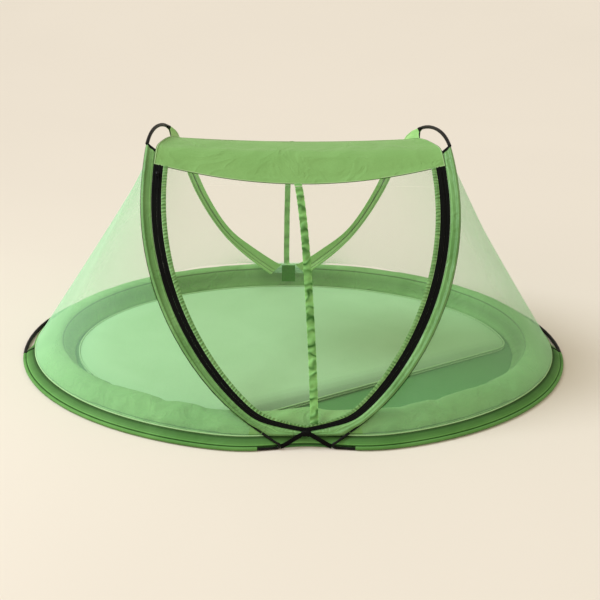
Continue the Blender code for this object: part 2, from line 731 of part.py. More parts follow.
def build_strap(material, knot_material):
    """Webbing that joins the two front bends, lifted to a knot under the zip."""
    start = rim_point(-rim_angle(FOOT_NOSE), TUBE_RADIUS, 0.0)
    knot_y = arch_point(ZIP_BOTTOM_ANGLE).y - KNOT_FORWARD
    made = []
    inner = KNOT_RADIUS * KNOT_WIDTH_SHARE + CLEARANCE
    outer = FOOT_NOSE - FOOT_RADIUS - CLEARANCE
    rows = []
    for share in steps(0.0, 1.0, 7):
        x = inner + (outer - inner) * share
        y = knot_y + (start.y - knot_y) * ease(share)
        z = STRAP_RISE + (FOOT_RADIUS * 2.0 - STRAP_RISE) * share
        half = STRAP_WIDTH / 2.0 * (1.0 - STRAP_TAPER_SHARE * share)
        rows.append([Vector((x, y, z - half)), Vector((x, y, z + half))])
    made.append(loft("front_strap_right", rows, material, STRAP_THICKNESS))
    made.append(loft("front_strap_left", [mirrored(row) for row in rows], material,
                     STRAP_THICKNESS))
    bpy.ops.mesh.primitive_uv_sphere_add(segments=16, ring_count=8, radius=KNOT_RADIUS,
                                         location=(0.0, knot_y, STRAP_RISE))
    knot = bpy.context.object
    knot.name = "front_knot"
    knot.scale = (KNOT_WIDTH_SHARE, KNOT_DEPTH_SHARE, KNOT_LENGTH / (KNOT_RADIUS * 2.0))
    bpy.ops.object.transform_apply(location=False, rotation=False, scale=True)
    for holder in list(knot.users_collection):
        holder.objects.unlink(knot)
    PARTS.objects.link(knot)
    made.append(finish(knot, knot_material))
    return made


def build_floor(material):
    points = []
    for a in whole_rim():
        inset = FLOOR_INSET + (CHORD_INSET - FLOOR_INSET) * chord_window(a)
        points.append(rim_point(a, inset, 0.0))
    return flat_outline("floor", points, 0.0, FLOOR_THICKNESS, 0.0, material)


def chord_window(angle):
    """1 where floor and flange are cut back beside the base handles, 0 elsewhere."""
    side = 180.0 - angle if 90.0 < angle < 270.0 else (angle + 180.0) % 360.0 - 180.0
    middle = (GRIP_START_ANGLE + GRIP_END_ANGLE) / 2.0
    half = (GRIP_END_ANGLE - GRIP_START_ANGLE) / 2.0
    return ease((half - abs(side - middle)) / CHORD_TURN)


def build_rim(materials):
    made = []
    rows = []
    for angle in whole_rim():
        cut = chord_window(angle)
        inset = FLANGE_OUTER_INSET + (CHORD_INSET - FLANGE_OUTER_INSET) * cut
        rise = (inset - FLANGE_OUTER_INSET) / (FLANGE_INNER_INSET - FLANGE_OUTER_INSET)
        height = FLANGE_OUTER_HEIGHT + (FLANGE_INNER_HEIGHT - FLANGE_OUTER_HEIGHT) * rise
        rows.append([rim_point(angle, inset, height),
                     rim_point(angle, FLANGE_INNER_INSET, FLANGE_INNER_HEIGHT)])
    made.append(ring_loft("rim_flange", rows, materials["sleeve_green"], FABRIC))
    points = [rim_point(a, PIPING_INSET, PIPING_HEIGHT) for a in whole_rim()]
    made.append(rod("rim_piping", points, PIPING_RADIUS, materials["piping_green"],
                    closed=True, sides=1))
    rows = []
    for angle in steps(0.0, 360.0, BUMPER_STEPS + 1)[:-1]:
        row = []
        for across, up in BUMPER_SECTION_SHARES:
            inset = BUMPER_OUTER_INSET + BUMPER_WIDTH * across
            row.append(rim_point(angle, inset, BUMPER_FOOT_HEIGHT + BUMPER_HEIGHT * up))
        rows.append(row)
    made.append(loft("bumper_wall", rows, materials["bumper_green"], closed=True))
    return made


def build_still_rim(material):
    """Lengths of the base tube between the two fold lines."""
    fold = rim_angle(FOLD_AT)
    foot = rim_angle(FOOT_END + CLEARANCE)
    points = rim_line(fold, 180.0 - fold, TUBE_RADIUS, RIM_HEIGHT)
    made = [rod("back_rim_tube", points, TUBE_RADIUS, material)]
    points = rim_line(-foot, -fold, TUBE_RADIUS, RIM_HEIGHT)
    made.append(rod("front_rim_tube_right", points, TUBE_RADIUS, material))
    made.append(rod("front_rim_tube_left", mirrored(points), TUBE_RADIUS, material))
    return made


def build_wing(side, materials):
    """Half of the base hoop that lifts: wire, handle grip, and the tube in two lengths."""
    tag = "right" if side > 0 else "left"
    turn = (lambda line: line) if side > 0 else mirrored
    far = rim_angle(WING_START)
    made = []
    wire = rim_line(-far, far, TUBE_RADIUS, RIM_HEIGHT)
    made.append(rod(f"base_wire_{tag}", turn(wire), WIRE_RADIUS, materials["black_wire"]))
    grip = rim_line(GRIP_START_ANGLE, GRIP_END_ANGLE, TUBE_RADIUS, RIM_HEIGHT)
    made.append(pipe(f"base_grip_{tag}", turn(grip), materials["black_grip"]))
    front = rim_line(-far + WIRE_END_ANGLE, GRIP_START_ANGLE - GRIP_GAP_ANGLE,
                     TUBE_RADIUS, RIM_HEIGHT)
    made.append(pipe(f"base_tube_front_{tag}", turn(front), materials["sleeve_green"]))
    back = rim_line(GRIP_END_ANGLE + GRIP_GAP_ANGLE, far - WIRE_END_ANGLE,
                    TUBE_RADIUS, RIM_HEIGHT)
    made.append(pipe(f"base_tube_back_{tag}", turn(back), materials["sleeve_green"]))
    return made


def build_side_net(side, material):
    """Net drawn straight from the arch down to the seam round the base."""
    tag = "right" if side > 0 else "left"
    turn = (lambda line: line) if side > 0 else mirrored
    rows = []
    for upper, run, angle in net_tops():
        back = ease((angle - NET_RISE_ANGLE) / NET_RISE_TURN)
        inset = PIPING_INSET + (NET_BACK_INSET - PIPING_INSET) * back
        across = (inset - BUMPER_OUTER_INSET) / BUMPER_WIDTH
        ups = [up for _, up in BUMPER_SECTION_SHARES]
        wall = BUMPER_HEIGHT * float(np.interp(across, BUMPER_ACROSS_SHARES, ups))
        height = max(NET_SEAM_HEIGHT, BUMPER_FOOT_HEIGHT + wall + NET_WALL_GAP)
        lower = rim_point(angle, inset, height)
        way = (lower - upper).normalized()
        slant = way.dot(run)
        tilt = math.sqrt(max(1.0 - slant ** 2, LEAST_LEAN_SHARE))
        cut = NET_CUT_BACK * ease((upper.z - NET_CUT_HEIGHT) / NET_CUT_DEPTH)
        upper = upper + way * (NET_WIRE_CLEARANCE / tilt + cut)
        rows.append(turn([upper.lerp(lower, s) for s in steps(0.0, 1.0, 4)]))
    return loft(f"side_net_{tag}", rows, material, NET)


def net_tops():
    """Places along the arch, then along the gusset's foot, each with its angle on the rim."""
    tops = []
    for count in range(-NET_END_TURNS, NET_END_TURNS + 1):
        place = NET_END_ANGLE * count / NET_END_TURNS
        tops.append((arch_point(place), arch_direction(place), count * RIM_TURN))
    first = NET_END_TURNS * RIM_TURN
    for share in steps(0.0, 1.0, 4)[1:]:
        place = NET_END_ANGLE + (WIRE_BACK_ANGLE - NET_END_ANGLE) * share
        angle = first + (NET_LAST_RIM_ANGLE - first) * share
        tops.append((arch_point(place), arch_direction(place), angle))
    foot = tops[-1][0]
    stop = PATCH_WIDTH / 2.0 + STRIP_GAP + FABRIC
    inwards = Vector((-1.0, 0.0, 0.0))
    for share in steps(0.0, 1.0, 3)[1:]:
        x = foot.x + (stop - foot.x) * share
        angle = NET_LAST_RIM_ANGLE + (NET_CLOSE_RIM_ANGLE - NET_LAST_RIM_ANGLE) * share
        tops.append((Vector((x, foot.y, foot.z)), inwards, angle))
    return tops


def build_mat(materials):
    """Fitted pad: the base outline moved inwards, cut straight across the front right."""
    first, last = (Vector((x * HALF_WIDTH, y * HALF_DEPTH)) for x, y in MAT_CHORD_SHARES)
    along = (last - first).normalized()
    inwards = Vector((-along.y, along.x))
    outline = []
    for angle in steps(0.0, 360.0, MAT_STEPS + 1)[:-1]:
        point = rim_point(angle, MAT_INSET + MAT_PIPING_RADIUS, 0.0)
        depth = (point.xy - first).dot(inwards)
        outline.append((point.xy, depth))
    kept = [i for i, (_, depth) in enumerate(outline) if depth > 0.0]
    start = next(i for i in kept if (i - 1) % MAT_STEPS not in kept)
    arc = [outline[(start + i) % MAT_STEPS][0] for i in range(len(kept))]
    points = rounded(arc, MAT_CORNER_RADIUS)
    base = FLOOR_THICKNESS + CLEARANCE
    made = [flat_outline("mat", [Vector((p.x, p.y, 0.0)) for p in points], base,
                         MAT_THICKNESS, MAT_PIPING_RADIUS, materials["mat_green"])]
    edge = MAT_PIPING_RADIUS + CLEARANCE
    for name, height in (("mat_piping_top", base + MAT_THICKNESS - MAT_PIPING_RADIUS),
                         ("mat_piping_foot", base + MAT_PIPING_RADIUS)):
        line = [Vector((p.x, p.y, height)) for p in grown(points, edge)]
        made.append(rod(name, line, MAT_PIPING_RADIUS, materials["piping_green"],
                        closed=True, sides=1))
    return made


def rounded(arc, radius):
    """Arc of points closed by a straight side, with its two corners turned smoothly."""
    first, last = arc[0], arc[-1]
    trimmed = [p for p in arc if (p - first).length > radius and (p - last).length > radius]
    points = list(trimmed)
    for corner, before, after in ((last, trimmed[-1], last + (first - last).normalized() * radius),
                                  (first, first + (last - first).normalized() * radius,
                                   trimmed[0])):
        for share in steps(0.0, 1.0, 7):
            if (share == 0.0 and corner == last) or (share == 1.0 and corner == first):
                continue
            a = before.lerp(corner, share)
            b = corner.lerp(after, share)
            points.append(a.lerp(b, share))
    return points


def grown(points, distance):
    """Closed outline moved outwards."""
    moved = []
    for i, point in enumerate(points):
        run = (points[(i + 1) % len(points)] - points[i - 1]).normalized()
        moved.append(point + Vector((run.y, -run.x)) * distance)
    return moved


def slider_frame(angle):
    """Place and axes of the slider on the left side of the zip."""
    inwards = SLEEVE_WIDTH + TAPE_WIDTH + STRIP_GAP + COIL_WIDTH / 2.0
    place = arch_point(angle, inwards)
    after = arch_point(angle - 1.0, inwards)
    run = after - place
    place, run = mirrored([place, run])
    normal = face_normal(angle)
    run = run.normalized()
    across = run.cross(normal).normalized()
    normal = across.cross(run)
    return place, run, across, normal


def slider_circle():
    """Centre and axis of the circle that the slider rides, just clear of the zip."""
    places = []
    for angle, lift in ((SLIDER_ANGLE, 0.0), (SLIDER_MIDDLE_ANGLE, SLIDER_MIDDLE_LIFT),
                        (SLIDER_END_ANGLE, SLIDER_END_LIFT)):
        place, _, _, normal = slider_frame(angle)
        places.append(place + normal * lift)
    first, middle, last = places
    ab, ac = middle - first, last - first
    axis = ab.cross(ac)
    size = 2.0 * axis.length_squared
    towards = axis.cross(ab) * ac.length_squared + ac.cross(axis) * ab.length_squared
    return first + towards / size, axis.normalized(), first, last


def build_slider(materials):
    """Slider with its bridge, and the cord loop that passes under the bridge."""
    place, run, across, normal = slider_frame(SLIDER_ANGLE)
    turn = Matrix((run, across, normal)).transposed().to_4x4()
    lift = COIL_HEIGHT / 2.0 + SLIDER_GAP + SLIDER_THICKNESS / 2.0
    seat = Matrix.Translation(place + normal * lift) @ turn
    black = materials["black_zip"]

    bpy.ops.mesh.primitive_cube_add(size=1.0)
    slider = bpy.context.object
    slider.name = "zip_slider"
    slider.scale = (SLIDER_LENGTH, SLIDER_WIDTH, SLIDER_THICKNESS)
    bpy.ops.object.transform_apply(location=False, rotation=False, scale=True)
    for corner in slider.data.vertices:
        if corner.co.x > 0.0:
            corner.co.y *= SLIDER_TAIL_SHARE
    edge = slider.modifiers.new("edge", "BEVEL")
    edge.width = SLIDER_EDGE
    edge.segments = 2
    slider.matrix_world = seat
    for holder in list(slider.users_collection):
        holder.objects.unlink(slider)
    PARTS.objects.link(slider)

    top = SLIDER_THICKNESS / 2.0
    rise = 2.0 * (PULL_RADIUS + CLEARANCE) + BRIDGE_RADIUS
    arc = [Vector((-BRIDGE_REACH, 0.0, 0.0))]
    for angle in steps(180.0, 0.0, 9):
        c, s = math.cos(math.radians(angle)), math.sin(math.radians(angle))
        arc.append(Vector((BRIDGE_REACH * c, 0.0, top + rise * s)))
    arc.append(Vector((BRIDGE_REACH, 0.0, 0.0)))
    bar = rod("slider_bridge_path", arc, BRIDGE_RADIUS, black)
    bpy.context.view_layer.update()
    shape = bar.evaluated_get(bpy.context.evaluated_depsgraph_get())
    mesh = bpy.data.meshes.new_from_object(shape)
    bm = bmesh.new()
    bm.from_mesh(mesh)
    bmesh.ops.remove_doubles(bm, verts=bm.verts, dist=WELD_DISTANCE / 10.0)
    bmesh.ops.recalc_face_normals(bm, faces=bm.faces)
    bm.to_mesh(mesh)
    bm.free()
    bridge = bpy.data.objects.new("slider_bridge", mesh)
    GUIDES.objects.link(bridge)
    bridge.matrix_world = seat
    bridge.hide_render = True
    bridge.display_type = "WIRE"
    bpy.data.objects.remove(bar, do_unlink=True)
    join = slider.modifiers.new("bridge", "BOOLEAN")
    join.operation = "UNION"
    join.object = bridge
    finish(slider, black)

    eye = place + normal * (lift + top + PULL_RADIUS + CLEARANCE)
    down = Vector((0.0, run.y, run.z)).normalized()
    aside = Vector((1.0, 0.0, 0.0))
    near, far = PULL_EYE_RADIUS, PULL_WIDTH / 2.0
    loop = []
    for angle in steps(90.0, 270.0, 9):
        c, s = math.cos(math.radians(angle)), math.sin(math.radians(angle))
        loop.append(eye + down * (near + near * c) + aside * (near * s))
    for angle in steps(-90.0, 90.0, 9):
        c, s = math.cos(math.radians(angle)), math.sin(math.radians(angle))
        loop.append(eye + down * (PULL_LENGTH - far + far * c) + aside * (far * s))
    pull = rod("zip_pull", loop, PULL_RADIUS, black, closed=True, sides=1)
    return slider, pull, eye


def build():
    clear_scene()
    materials = {name: make_material(name) for name in COLOURS}
    for side in (-1, 1):
        build_hoops(side, materials)
        build_front_foot(side, materials["black_grip"])
        build_side_net(side, materials["net"])
    build_canopy(materials)
    build_header_net(materials)
    build_zip(materials)
    build_back(materials)
    build_strap(materials["black_zip"], materials["black_zip"])
    build_floor(materials["floor_green"])
    build_rim(materials)
    build_still_rim(materials["sleeve_green"])
    build_mat(materials)

    door_axis = arch_point(DOOR_TOP_ANGLE)
    hang_on(hinge("door_hinge", (0.0, door_axis.y, door_axis.z)), build_door(materials))
    for side, tag in ((-1, "left"), (1, "right")):
        wing = hinge(f"base_fold_{tag}", (side * FOLD_AT, 0.0, RIM_HEIGHT))
        hang_on(wing, build_wing(side, materials))
    centre, _, _, _ = slider_circle()
    slider, pull, eye = build_slider(materials)
    ride = hinge("zip_travel", centre)
    swing = hinge("pull_swing", eye)
    hang_on(ride, [slider, swing])
    hang_on(swing, [pull])


PARTS = bpy.data.collections.new("mosquito_net_tent")
GUIDES = bpy.data.collections.new("guides")
for group in (PARTS, GUIDES):
    bpy.context.scene.collection.children.link(group)
build()
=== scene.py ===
import json
import math

import bpy
import numpy as np
from mathutils import Matrix, Vector, noise

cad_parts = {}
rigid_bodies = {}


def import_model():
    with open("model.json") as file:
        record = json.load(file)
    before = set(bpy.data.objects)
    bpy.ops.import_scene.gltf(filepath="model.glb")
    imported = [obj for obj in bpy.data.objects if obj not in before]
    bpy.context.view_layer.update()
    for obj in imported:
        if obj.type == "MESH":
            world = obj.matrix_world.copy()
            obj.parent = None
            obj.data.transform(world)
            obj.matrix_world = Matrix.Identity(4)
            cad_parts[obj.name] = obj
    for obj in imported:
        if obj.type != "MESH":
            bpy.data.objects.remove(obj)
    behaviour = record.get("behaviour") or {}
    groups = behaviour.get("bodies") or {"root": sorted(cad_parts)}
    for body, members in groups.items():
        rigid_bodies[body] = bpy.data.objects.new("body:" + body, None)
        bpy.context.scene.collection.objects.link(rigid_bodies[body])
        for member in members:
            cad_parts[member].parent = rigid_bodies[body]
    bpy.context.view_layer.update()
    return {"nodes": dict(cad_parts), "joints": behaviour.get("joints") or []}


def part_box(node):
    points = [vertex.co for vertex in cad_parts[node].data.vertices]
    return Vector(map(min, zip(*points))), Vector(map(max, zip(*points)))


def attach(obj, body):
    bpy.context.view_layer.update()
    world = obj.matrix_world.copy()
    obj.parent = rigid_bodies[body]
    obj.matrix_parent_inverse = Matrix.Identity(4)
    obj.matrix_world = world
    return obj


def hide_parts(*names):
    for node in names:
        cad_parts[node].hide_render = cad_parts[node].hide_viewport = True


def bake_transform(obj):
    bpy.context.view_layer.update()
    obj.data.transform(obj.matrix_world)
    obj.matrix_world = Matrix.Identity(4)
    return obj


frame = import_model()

# Pop-up mosquito net tent. Metres, +Z up, X from left to right, the door faces -Y.
for solid in bpy.data.objects:  # the operators below act on new pieces alone
    solid.select_set(False)
upwards = Vector((0.0, 0.0, 1.0))
print("frame loaded")


# camera, floor and light
view = {
    "place": (-0.28244, -4.55726, 2.27540),
    "forward": (0.05901, 0.90894, -0.41273),
    "roll": 1.582,
    "lens": 81.908,
    "sensor": 36.0,
}
studio = {
    "floorSize": 60.0,
    "floorHeight": -0.0006,
    "floorColour": (0.845, 0.765, 0.65),
    "worldColour": (1.0, 0.905, 0.775),
    "worldStrength": 0.635,
    "key": ("SUN", (-3.0, 0.9, 3.4), 26.0, 2.04, (0.785, 0.885, 1.0)),
    "side": ("AREA", (-2.5, -0.8, 1.5), 2.0, 14.0, (0.93, 0.98, 1.0)),
}


def placeCamera():
    ahead = Vector(view["forward"]).normalized()
    side = ahead.cross(upwards).normalized()
    top = side.cross(ahead)
    turn = math.radians(view["roll"])
    right = side * math.cos(turn) + top * math.sin(turn)
    up = top * math.cos(turn) - side * math.sin(turn)
    bpy.ops.object.camera_add(location=view["place"])
    camera = bpy.context.object
    camera.matrix_world = Matrix.Translation(view["place"]) @ Matrix(
        (right, up, -ahead)).transposed().to_4x4()
    camera.data.lens = view["lens"]
    camera.data.sensor_width = view["sensor"]
    bpy.context.scene.camera = camera


def addLamp(name, kind, place, spread, power, colour):
    bpy.ops.object.light_add(type=kind, location=place)
    lamp = bpy.context.object
    lamp.name = name
    if kind == "SUN":
        lamp.data.angle = math.radians(spread)
    else:
        lamp.data.size = spread
        lamp.visible_camera = False
    lamp.data.energy = power
    lamp.data.color = colour
    lamp.rotation_euler = (-Vector(place)).to_track_quat("-Z", "Y").to_euler()


# short forms for building node trees
def addNode(tree, kind, values=None, links=None, **settings):
    node = tree.nodes.new(kind)
    for key, value in settings.items():
        setattr(node, key, value)
    for key, value in (values or {}).items():
        node.inputs[key].default_value = value
    for key, socket in (links or {}).items():
        tree.links.new(socket, node.inputs[key])
    return node


def calc(tree, way, first, second=0.0, clamp=False):
    node = tree.nodes.new("ShaderNodeMath")
    node.operation = way
    node.use_clamp = clamp
    for index, value in enumerate((first, second)):
        if isinstance(value, bpy.types.NodeSocket):
            tree.links.new(value, node.inputs[index])
        else:
            node.inputs[index].default_value = value
    return node.outputs[0]


def mixColour(tree, share, first, second, way="MIX"):
    node = addNode(tree, "ShaderNodeMix", data_type="RGBA", blend_type=way)
    for socket, value in ((node.inputs[0], share), (node.inputs[6], first), (node.inputs[7], second)):
        if isinstance(value, bpy.types.NodeSocket):
            tree.links.new(value, socket)
        else:
            socket.default_value = value
    return node.outputs[2]


def newGroup(name, inputs, outputs):
    group = bpy.data.node_groups.new(name, "ShaderNodeTree")
    for label, kind, value in inputs:
        socket = group.interface.new_socket(label, in_out="INPUT", socket_type="NodeSocket" + kind)
        if value is not None:
            socket.default_value = value
    for label, kind in outputs:
        group.interface.new_socket(label, in_out="OUTPUT", socket_type="NodeSocket" + kind)
    return group, group.nodes.new("NodeGroupInput"), group.nodes.new("NodeGroupOutput")


def makeWeave():  # threads and slubs of a woven cloth
    group, enter, leave = newGroup("weave", [("Vector", "Vector", None), ("Threads", "Float", 700.0)],
                                   [("Height", "Float"), ("Shade", "Float")])
    split = addNode(group, "ShaderNodeSeparateXYZ", links={"Vector": enter.outputs["Vector"]})
    waves = []
    for axis in ("X", "Y"):
        turns = calc(group, "MULTIPLY", split.outputs[axis], enter.outputs["Threads"])
        waves.append(calc(group, "SINE", calc(group, "MULTIPLY", turns, 2.0 * math.pi)))
    cross = calc(group, "MULTIPLY", waves[0], waves[1])
    height = calc(group, "MULTIPLY_ADD", cross, 0.5)
    height.node.inputs[2].default_value = 0.5
    slub = addNode(group, "ShaderNodeTexNoise", {"Scale": 160.0, "Detail": 2.0},
                   {"Vector": enter.outputs["Vector"]})
    shade = calc(group, "ADD", calc(group, "MULTIPLY", slub.outputs["Fac"], 0.7),
                 calc(group, "MULTIPLY", height, 0.3))
    group.links.new(height, leave.inputs["Height"])
    group.links.new(shade, leave.inputs["Shade"])
    return group


def makeCreases():  # soft folds with a few sharp ridges
    group, enter, leave = newGroup(
        "creases", [("Vector", "Vector", None), ("Scale", "Float", 9.0), ("Twist", "Float", 1.2)],
        [("Height", "Float")])
    broad = addNode(group, "ShaderNodeTexNoise", {"Detail": 3.0, "Roughness": 0.5},
                    {"Vector": enter.outputs["Vector"], "Scale": enter.outputs["Scale"],
                     "Distortion": enter.outputs["Twist"]})
    centred = calc(group, "ABSOLUTE", calc(group, "SUBTRACT", broad.outputs["Fac"], 0.5))
    ridge = calc(group, "SUBTRACT", 1.0, calc(group, "MULTIPLY", centred, 4.0, clamp=True))
    sharp = calc(group, "POWER", ridge, 2.0)
    soft = calc(group, "MULTIPLY", broad.outputs["Fac"], 0.8)
    group.links.new(calc(group, "ADD", calc(group, "MULTIPLY", sharp, 0.35), soft),
                    leave.inputs["Height"])
    return group


def makeTone():  # two shades of a colour in broad patches
    group, enter, leave = newGroup(
        "tone", [("Vector", "Vector", None), ("Scale", "Float", 3.0), ("Light", "Color", None),
                 ("Dark", "Color", None)], [("Colour", "Color")])
    patchy = addNode(group, "ShaderNodeTexNoise", {"Detail": 3.0, "Roughness": 0.55, "Distortion": 0.6},
                     {"Vector": enter.outputs["Vector"], "Scale": enter.outputs["Scale"]})
    share = addNode(group, "ShaderNodeMapRange", {"From Min": 0.3, "From Max": 0.7},
                    {"Value": patchy.outputs["Fac"]})
    colour = mixColour(group, share.outputs[0], enter.outputs["Dark"], enter.outputs["Light"])
    group.links.new(colour, leave.inputs["Colour"])
    return group


def makePuckers():  # gathers along a strip of cloth: their bumps, and a mark of painted shade in their folds
    group, enter, leave = newGroup(
        "puckers", [("Vector", "Vector", None), ("Pitch", "Float", 0.03), ("Wander", "Float", 0.5),
                    ("Slant", "Float", 6.0), ("Narrow", "Float", 3.0)],
        [("Height", "Float"), ("Mark", "Float")])
    split = addNode(group, "ShaderNodeSeparateXYZ", links={"Vector": enter.outputs["Vector"]})
    drift = addNode(group, "ShaderNodeTexNoise", {"Scale": 20.0, "Detail": 1.0},
                    {"Vector": enter.outputs["Vector"]})
    turns = calc(group, "DIVIDE", split.outputs["Y"], enter.outputs["Pitch"])
    lean = calc(group, "MULTIPLY", split.outputs["X"], enter.outputs["Slant"])
    wander = calc(group, "MULTIPLY", drift.outputs["Fac"], enter.outputs["Wander"])
    shift = calc(group, "ADD", lean, wander)
    wave = calc(group, "SINE", calc(group, "MULTIPLY", calc(group, "ADD", turns, shift), 2.0 * math.pi))
    height = calc(group, "MULTIPLY_ADD", wave, 0.5)
    height.node.inputs[2].default_value = 0.5
    uneven = addNode(group, "ShaderNodeTexNoise", {"Scale": 16.0, "Detail": 1.0},
                     {"Vector": enter.outputs["Vector"]})
    depth = addNode(group, "ShaderNodeMapRange", {"From Min": 0.34, "From Max": 0.62, "To Min": 0.25},
                    {"Value": uneven.outputs["Fac"]})
    group.links.new(height, leave.inputs["Height"])
    # Mark: where the colour takes the painted shade of the folds
    mark = calc(group, "POWER", height, enter.outputs["Narrow"])
    group.links.new(calc(group, "MULTIPLY", mark, depth.outputs[0]), leave.inputs["Mark"])
    return group


def makeSeam():  # a line along the cloth, at a distance from its first edge
    group, enter, leave = newGroup(
        "seam", [("Vector", "Vector", None), ("Place", "Float", 0.01), ("Width", "Float", 0.002)],
        [("Mark", "Float")])
    split = addNode(group, "ShaderNodeSeparateXYZ", links={"Vector": enter.outputs["Vector"]})
    away = calc(group, "ABSOLUTE", calc(group, "SUBTRACT", split.outputs["X"], enter.outputs["Place"]))
    near = calc(group, "SUBTRACT", 1.0, calc(group, "DIVIDE", away, enter.outputs["Width"]), clamp=True)
    group.links.new(calc(group, "SQRT", near), leave.inputs["Mark"])
    return group


groups = {}


def placeGroup(tree, name, links, **values):
    node = tree.nodes.new("ShaderNodeGroup")
    node.node_tree = groups[name]
    for key, value in values.items():
        node.inputs[key].default_value = value
    for key, socket in links.items():
        tree.links.new(socket, node.inputs[key])
    return node


def newMaterial(name):  # with its shader, and its patterns' places on the piece and on the cloth
    material = bpy.data.materials.new(name)
    material.use_nodes = True
    tree = material.node_tree
    spot = addNode(tree, "ShaderNodeTexCoord")
    return material, tree, tree.nodes["Principled BSDF"], spot.outputs["Object"], spot.outputs["UV"]


def placeTone(tree, place, scale, light, dark):
    return placeGroup(tree, "tone", {"Vector": place}, Scale=scale, Light=(*light, 1.0),
                      Dark=(*dark, 1.0))


def addBump(tree, shader, parts):  # parts: height socket, depth in metres, share
    normal = None
    for height, depth, share in parts:
        bump = addNode(tree, "ShaderNodeBump", {"Distance": abs(depth), "Strength": share},
                       {"Height": height}, invert=depth < 0.0)
        if normal:
            tree.links.new(normal, bump.inputs["Normal"])
        normal = bump.outputs["Normal"]
    tree.links.new(normal, shader.inputs["Normal"])


# crease: scale, depth, share; seams: place, half width, change of colour, height, as stitch lines or as
# painted highlight and painted shade
cloths = {
    "canopyCloth": {"light": (0.26, 0.49, 0.153), "dark": (0.23, 0.45, 0.132), "rough": 0.5,
                    "threads": 600.0, "crease": (7.0, 0.010, 0.6), "sheen": 0.01},
    "sleeveCloth": {"light": (0.21, 0.43, 0.14), "dark": (0.115, 0.285, 0.07), "rough": 0.44,
                    "threads": 700.0, "crease": (14.0, 0.006, 0.8), "sheen": 0.02, "shine": 0.3,
                    # the second line is a painted highlight along the sleeve's inner hem edge
                    "seams": ((0.0165, 0.0013, 0.72, -0.0006), (0.0352, 0.0016, 1.6, 0.0))},
    # the sleeve fabric again, made lighter as painted light for light shining through the cloth onto
    # its shaded underside
    "rearSleeveCloth": {"light": (0.41, 0.72, 0.255), "dark": (0.315, 0.61, 0.19), "rough": 0.6,
                        "threads": 700.0, "crease": (12.0, 0.004, 0.7), "sheen": 0.01,
                        "seams": ((0.012, 0.0016, 0.3, 0.0), (0.0285, 0.0014, 0.75, -0.0004),
                                  (0.052, 0.0022, 0.45, 0.0))},
    "tubeCloth": {"light": (0.16, 0.38, 0.095), "dark": (0.1, 0.27, 0.06), "rough": 0.58,
                  "threads": 700.0, "crease": (20.0, 0.003, 0.6), "sheen": 0.01},
    "flangeCloth": {"light": (0.128, 0.31, 0.08), "dark": (0.082, 0.232, 0.048), "rough": 0.6,
                    "threads": 700.0, "crease": (9.0, 0.004, 0.6), "sheen": 0.01,
                    # painted shade where the flange meets the tube, a painted highlight along its outer
                    # edge, and painted shade down its valley before the piping
                    "seams": ((0.0, 0.0022, 0.4, 0.0), (0.0045, 0.0022, 1.5, 0.0006),
                              (0.0345, 0.0085, 0.42, -0.0008), (0.024, 0.012, 0.7, 0.0))},
    "wallCloth": {"light": (0.275, 0.55, 0.185), "dark": (0.2, 0.44, 0.128), "rough": 0.6,
                  "threads": 600.0, "crease": (11.0, 0.008, 0.7), "sheen": 0.01,
                  # a painted highlight and a painted shade line beside the piping, painted shade in the
                  # crease at the inner edge of the top, and painted shade over the inner face
                  "seams": ((0.0325, 0.0022, 0.5, -0.0008), (0.0285, 0.0018, 1.6, 0.0006),
                            (0.1475, 0.0035, 0.4, -0.001), (0.178, 0.028, 0.74, 0.0))},
    "floorCloth": {"light": (0.11, 0.325, 0.088), "dark": (0.089, 0.28, 0.072), "rough": 0.7,
                   "threads": 600.0, "crease": (6.0, 0.003, 0.4), "sheen": 0.01},
    "matCloth": {"light": (0.45, 0.74, 0.385), "dark": (0.415, 0.7, 0.35), "rough": 0.8,
                 "threads": 500.0, "crease": (2.2, 0.006, 0.35), "sheen": 0.01,
                 "paintedShadeTurn": -2.03348,  # its bands of painted shade run along the straight edge, darkest at the roll
                 "seams": ((-0.402, 0.095, 0.84, 0.0), (-0.402, 0.07, 0.8, 0.0),
                           (-0.402, 0.045, 0.76, 0.0))},
    "pipingCloth": {"light": (0.46, 0.74, 0.36), "dark": (0.38, 0.64, 0.28), "rough": 0.55,
                    "threads": 900.0, "crease": (40.0, 0.001, 0.4), "sheen": 0.01},
    "patchCloth": {"light": (0.045, 0.25, 0.011), "dark": (0.033, 0.19, 0.008), "rough": 0.7,
                   "threads": 700.0, "crease": (25.0, 0.003, 0.6), "sheen": 0.01},
    "hemCloth": {"light": (0.4, 0.62, 0.27), "dark": (0.33, 0.54, 0.21), "rough": 0.6,
                 "threads": 800.0, "crease": (30.0, 0.001, 0.4), "sheen": 0.01,
                 "seams": ((0.0, 0.0024, 0.13, 0.0),)},
    "webbingCloth": {"light": (0.005, 0.005, 0.0046), "dark": (0.0025, 0.0025, 0.0024), "rough": 0.6,
                     "threads": 450.0, "crease": (30.0, 0.001, 0.5), "sheen": 0.0, "shine": 0.06},
    "zipTapeCloth": {"light": (0.004, 0.0045, 0.0036), "dark": (0.0022, 0.0024, 0.002), "rough": 0.62,
                     "threads": 500.0, "crease": (18.0, 0.001, 0.5), "sheen": 0.0, "shine": 0.06,
                     # two painted highlight lines along the black tape
                     "seams": ((0.0045, 0.0011, 3.2, 0.0006), (0.0105, 0.0011, 3.2, 0.0006))},
}
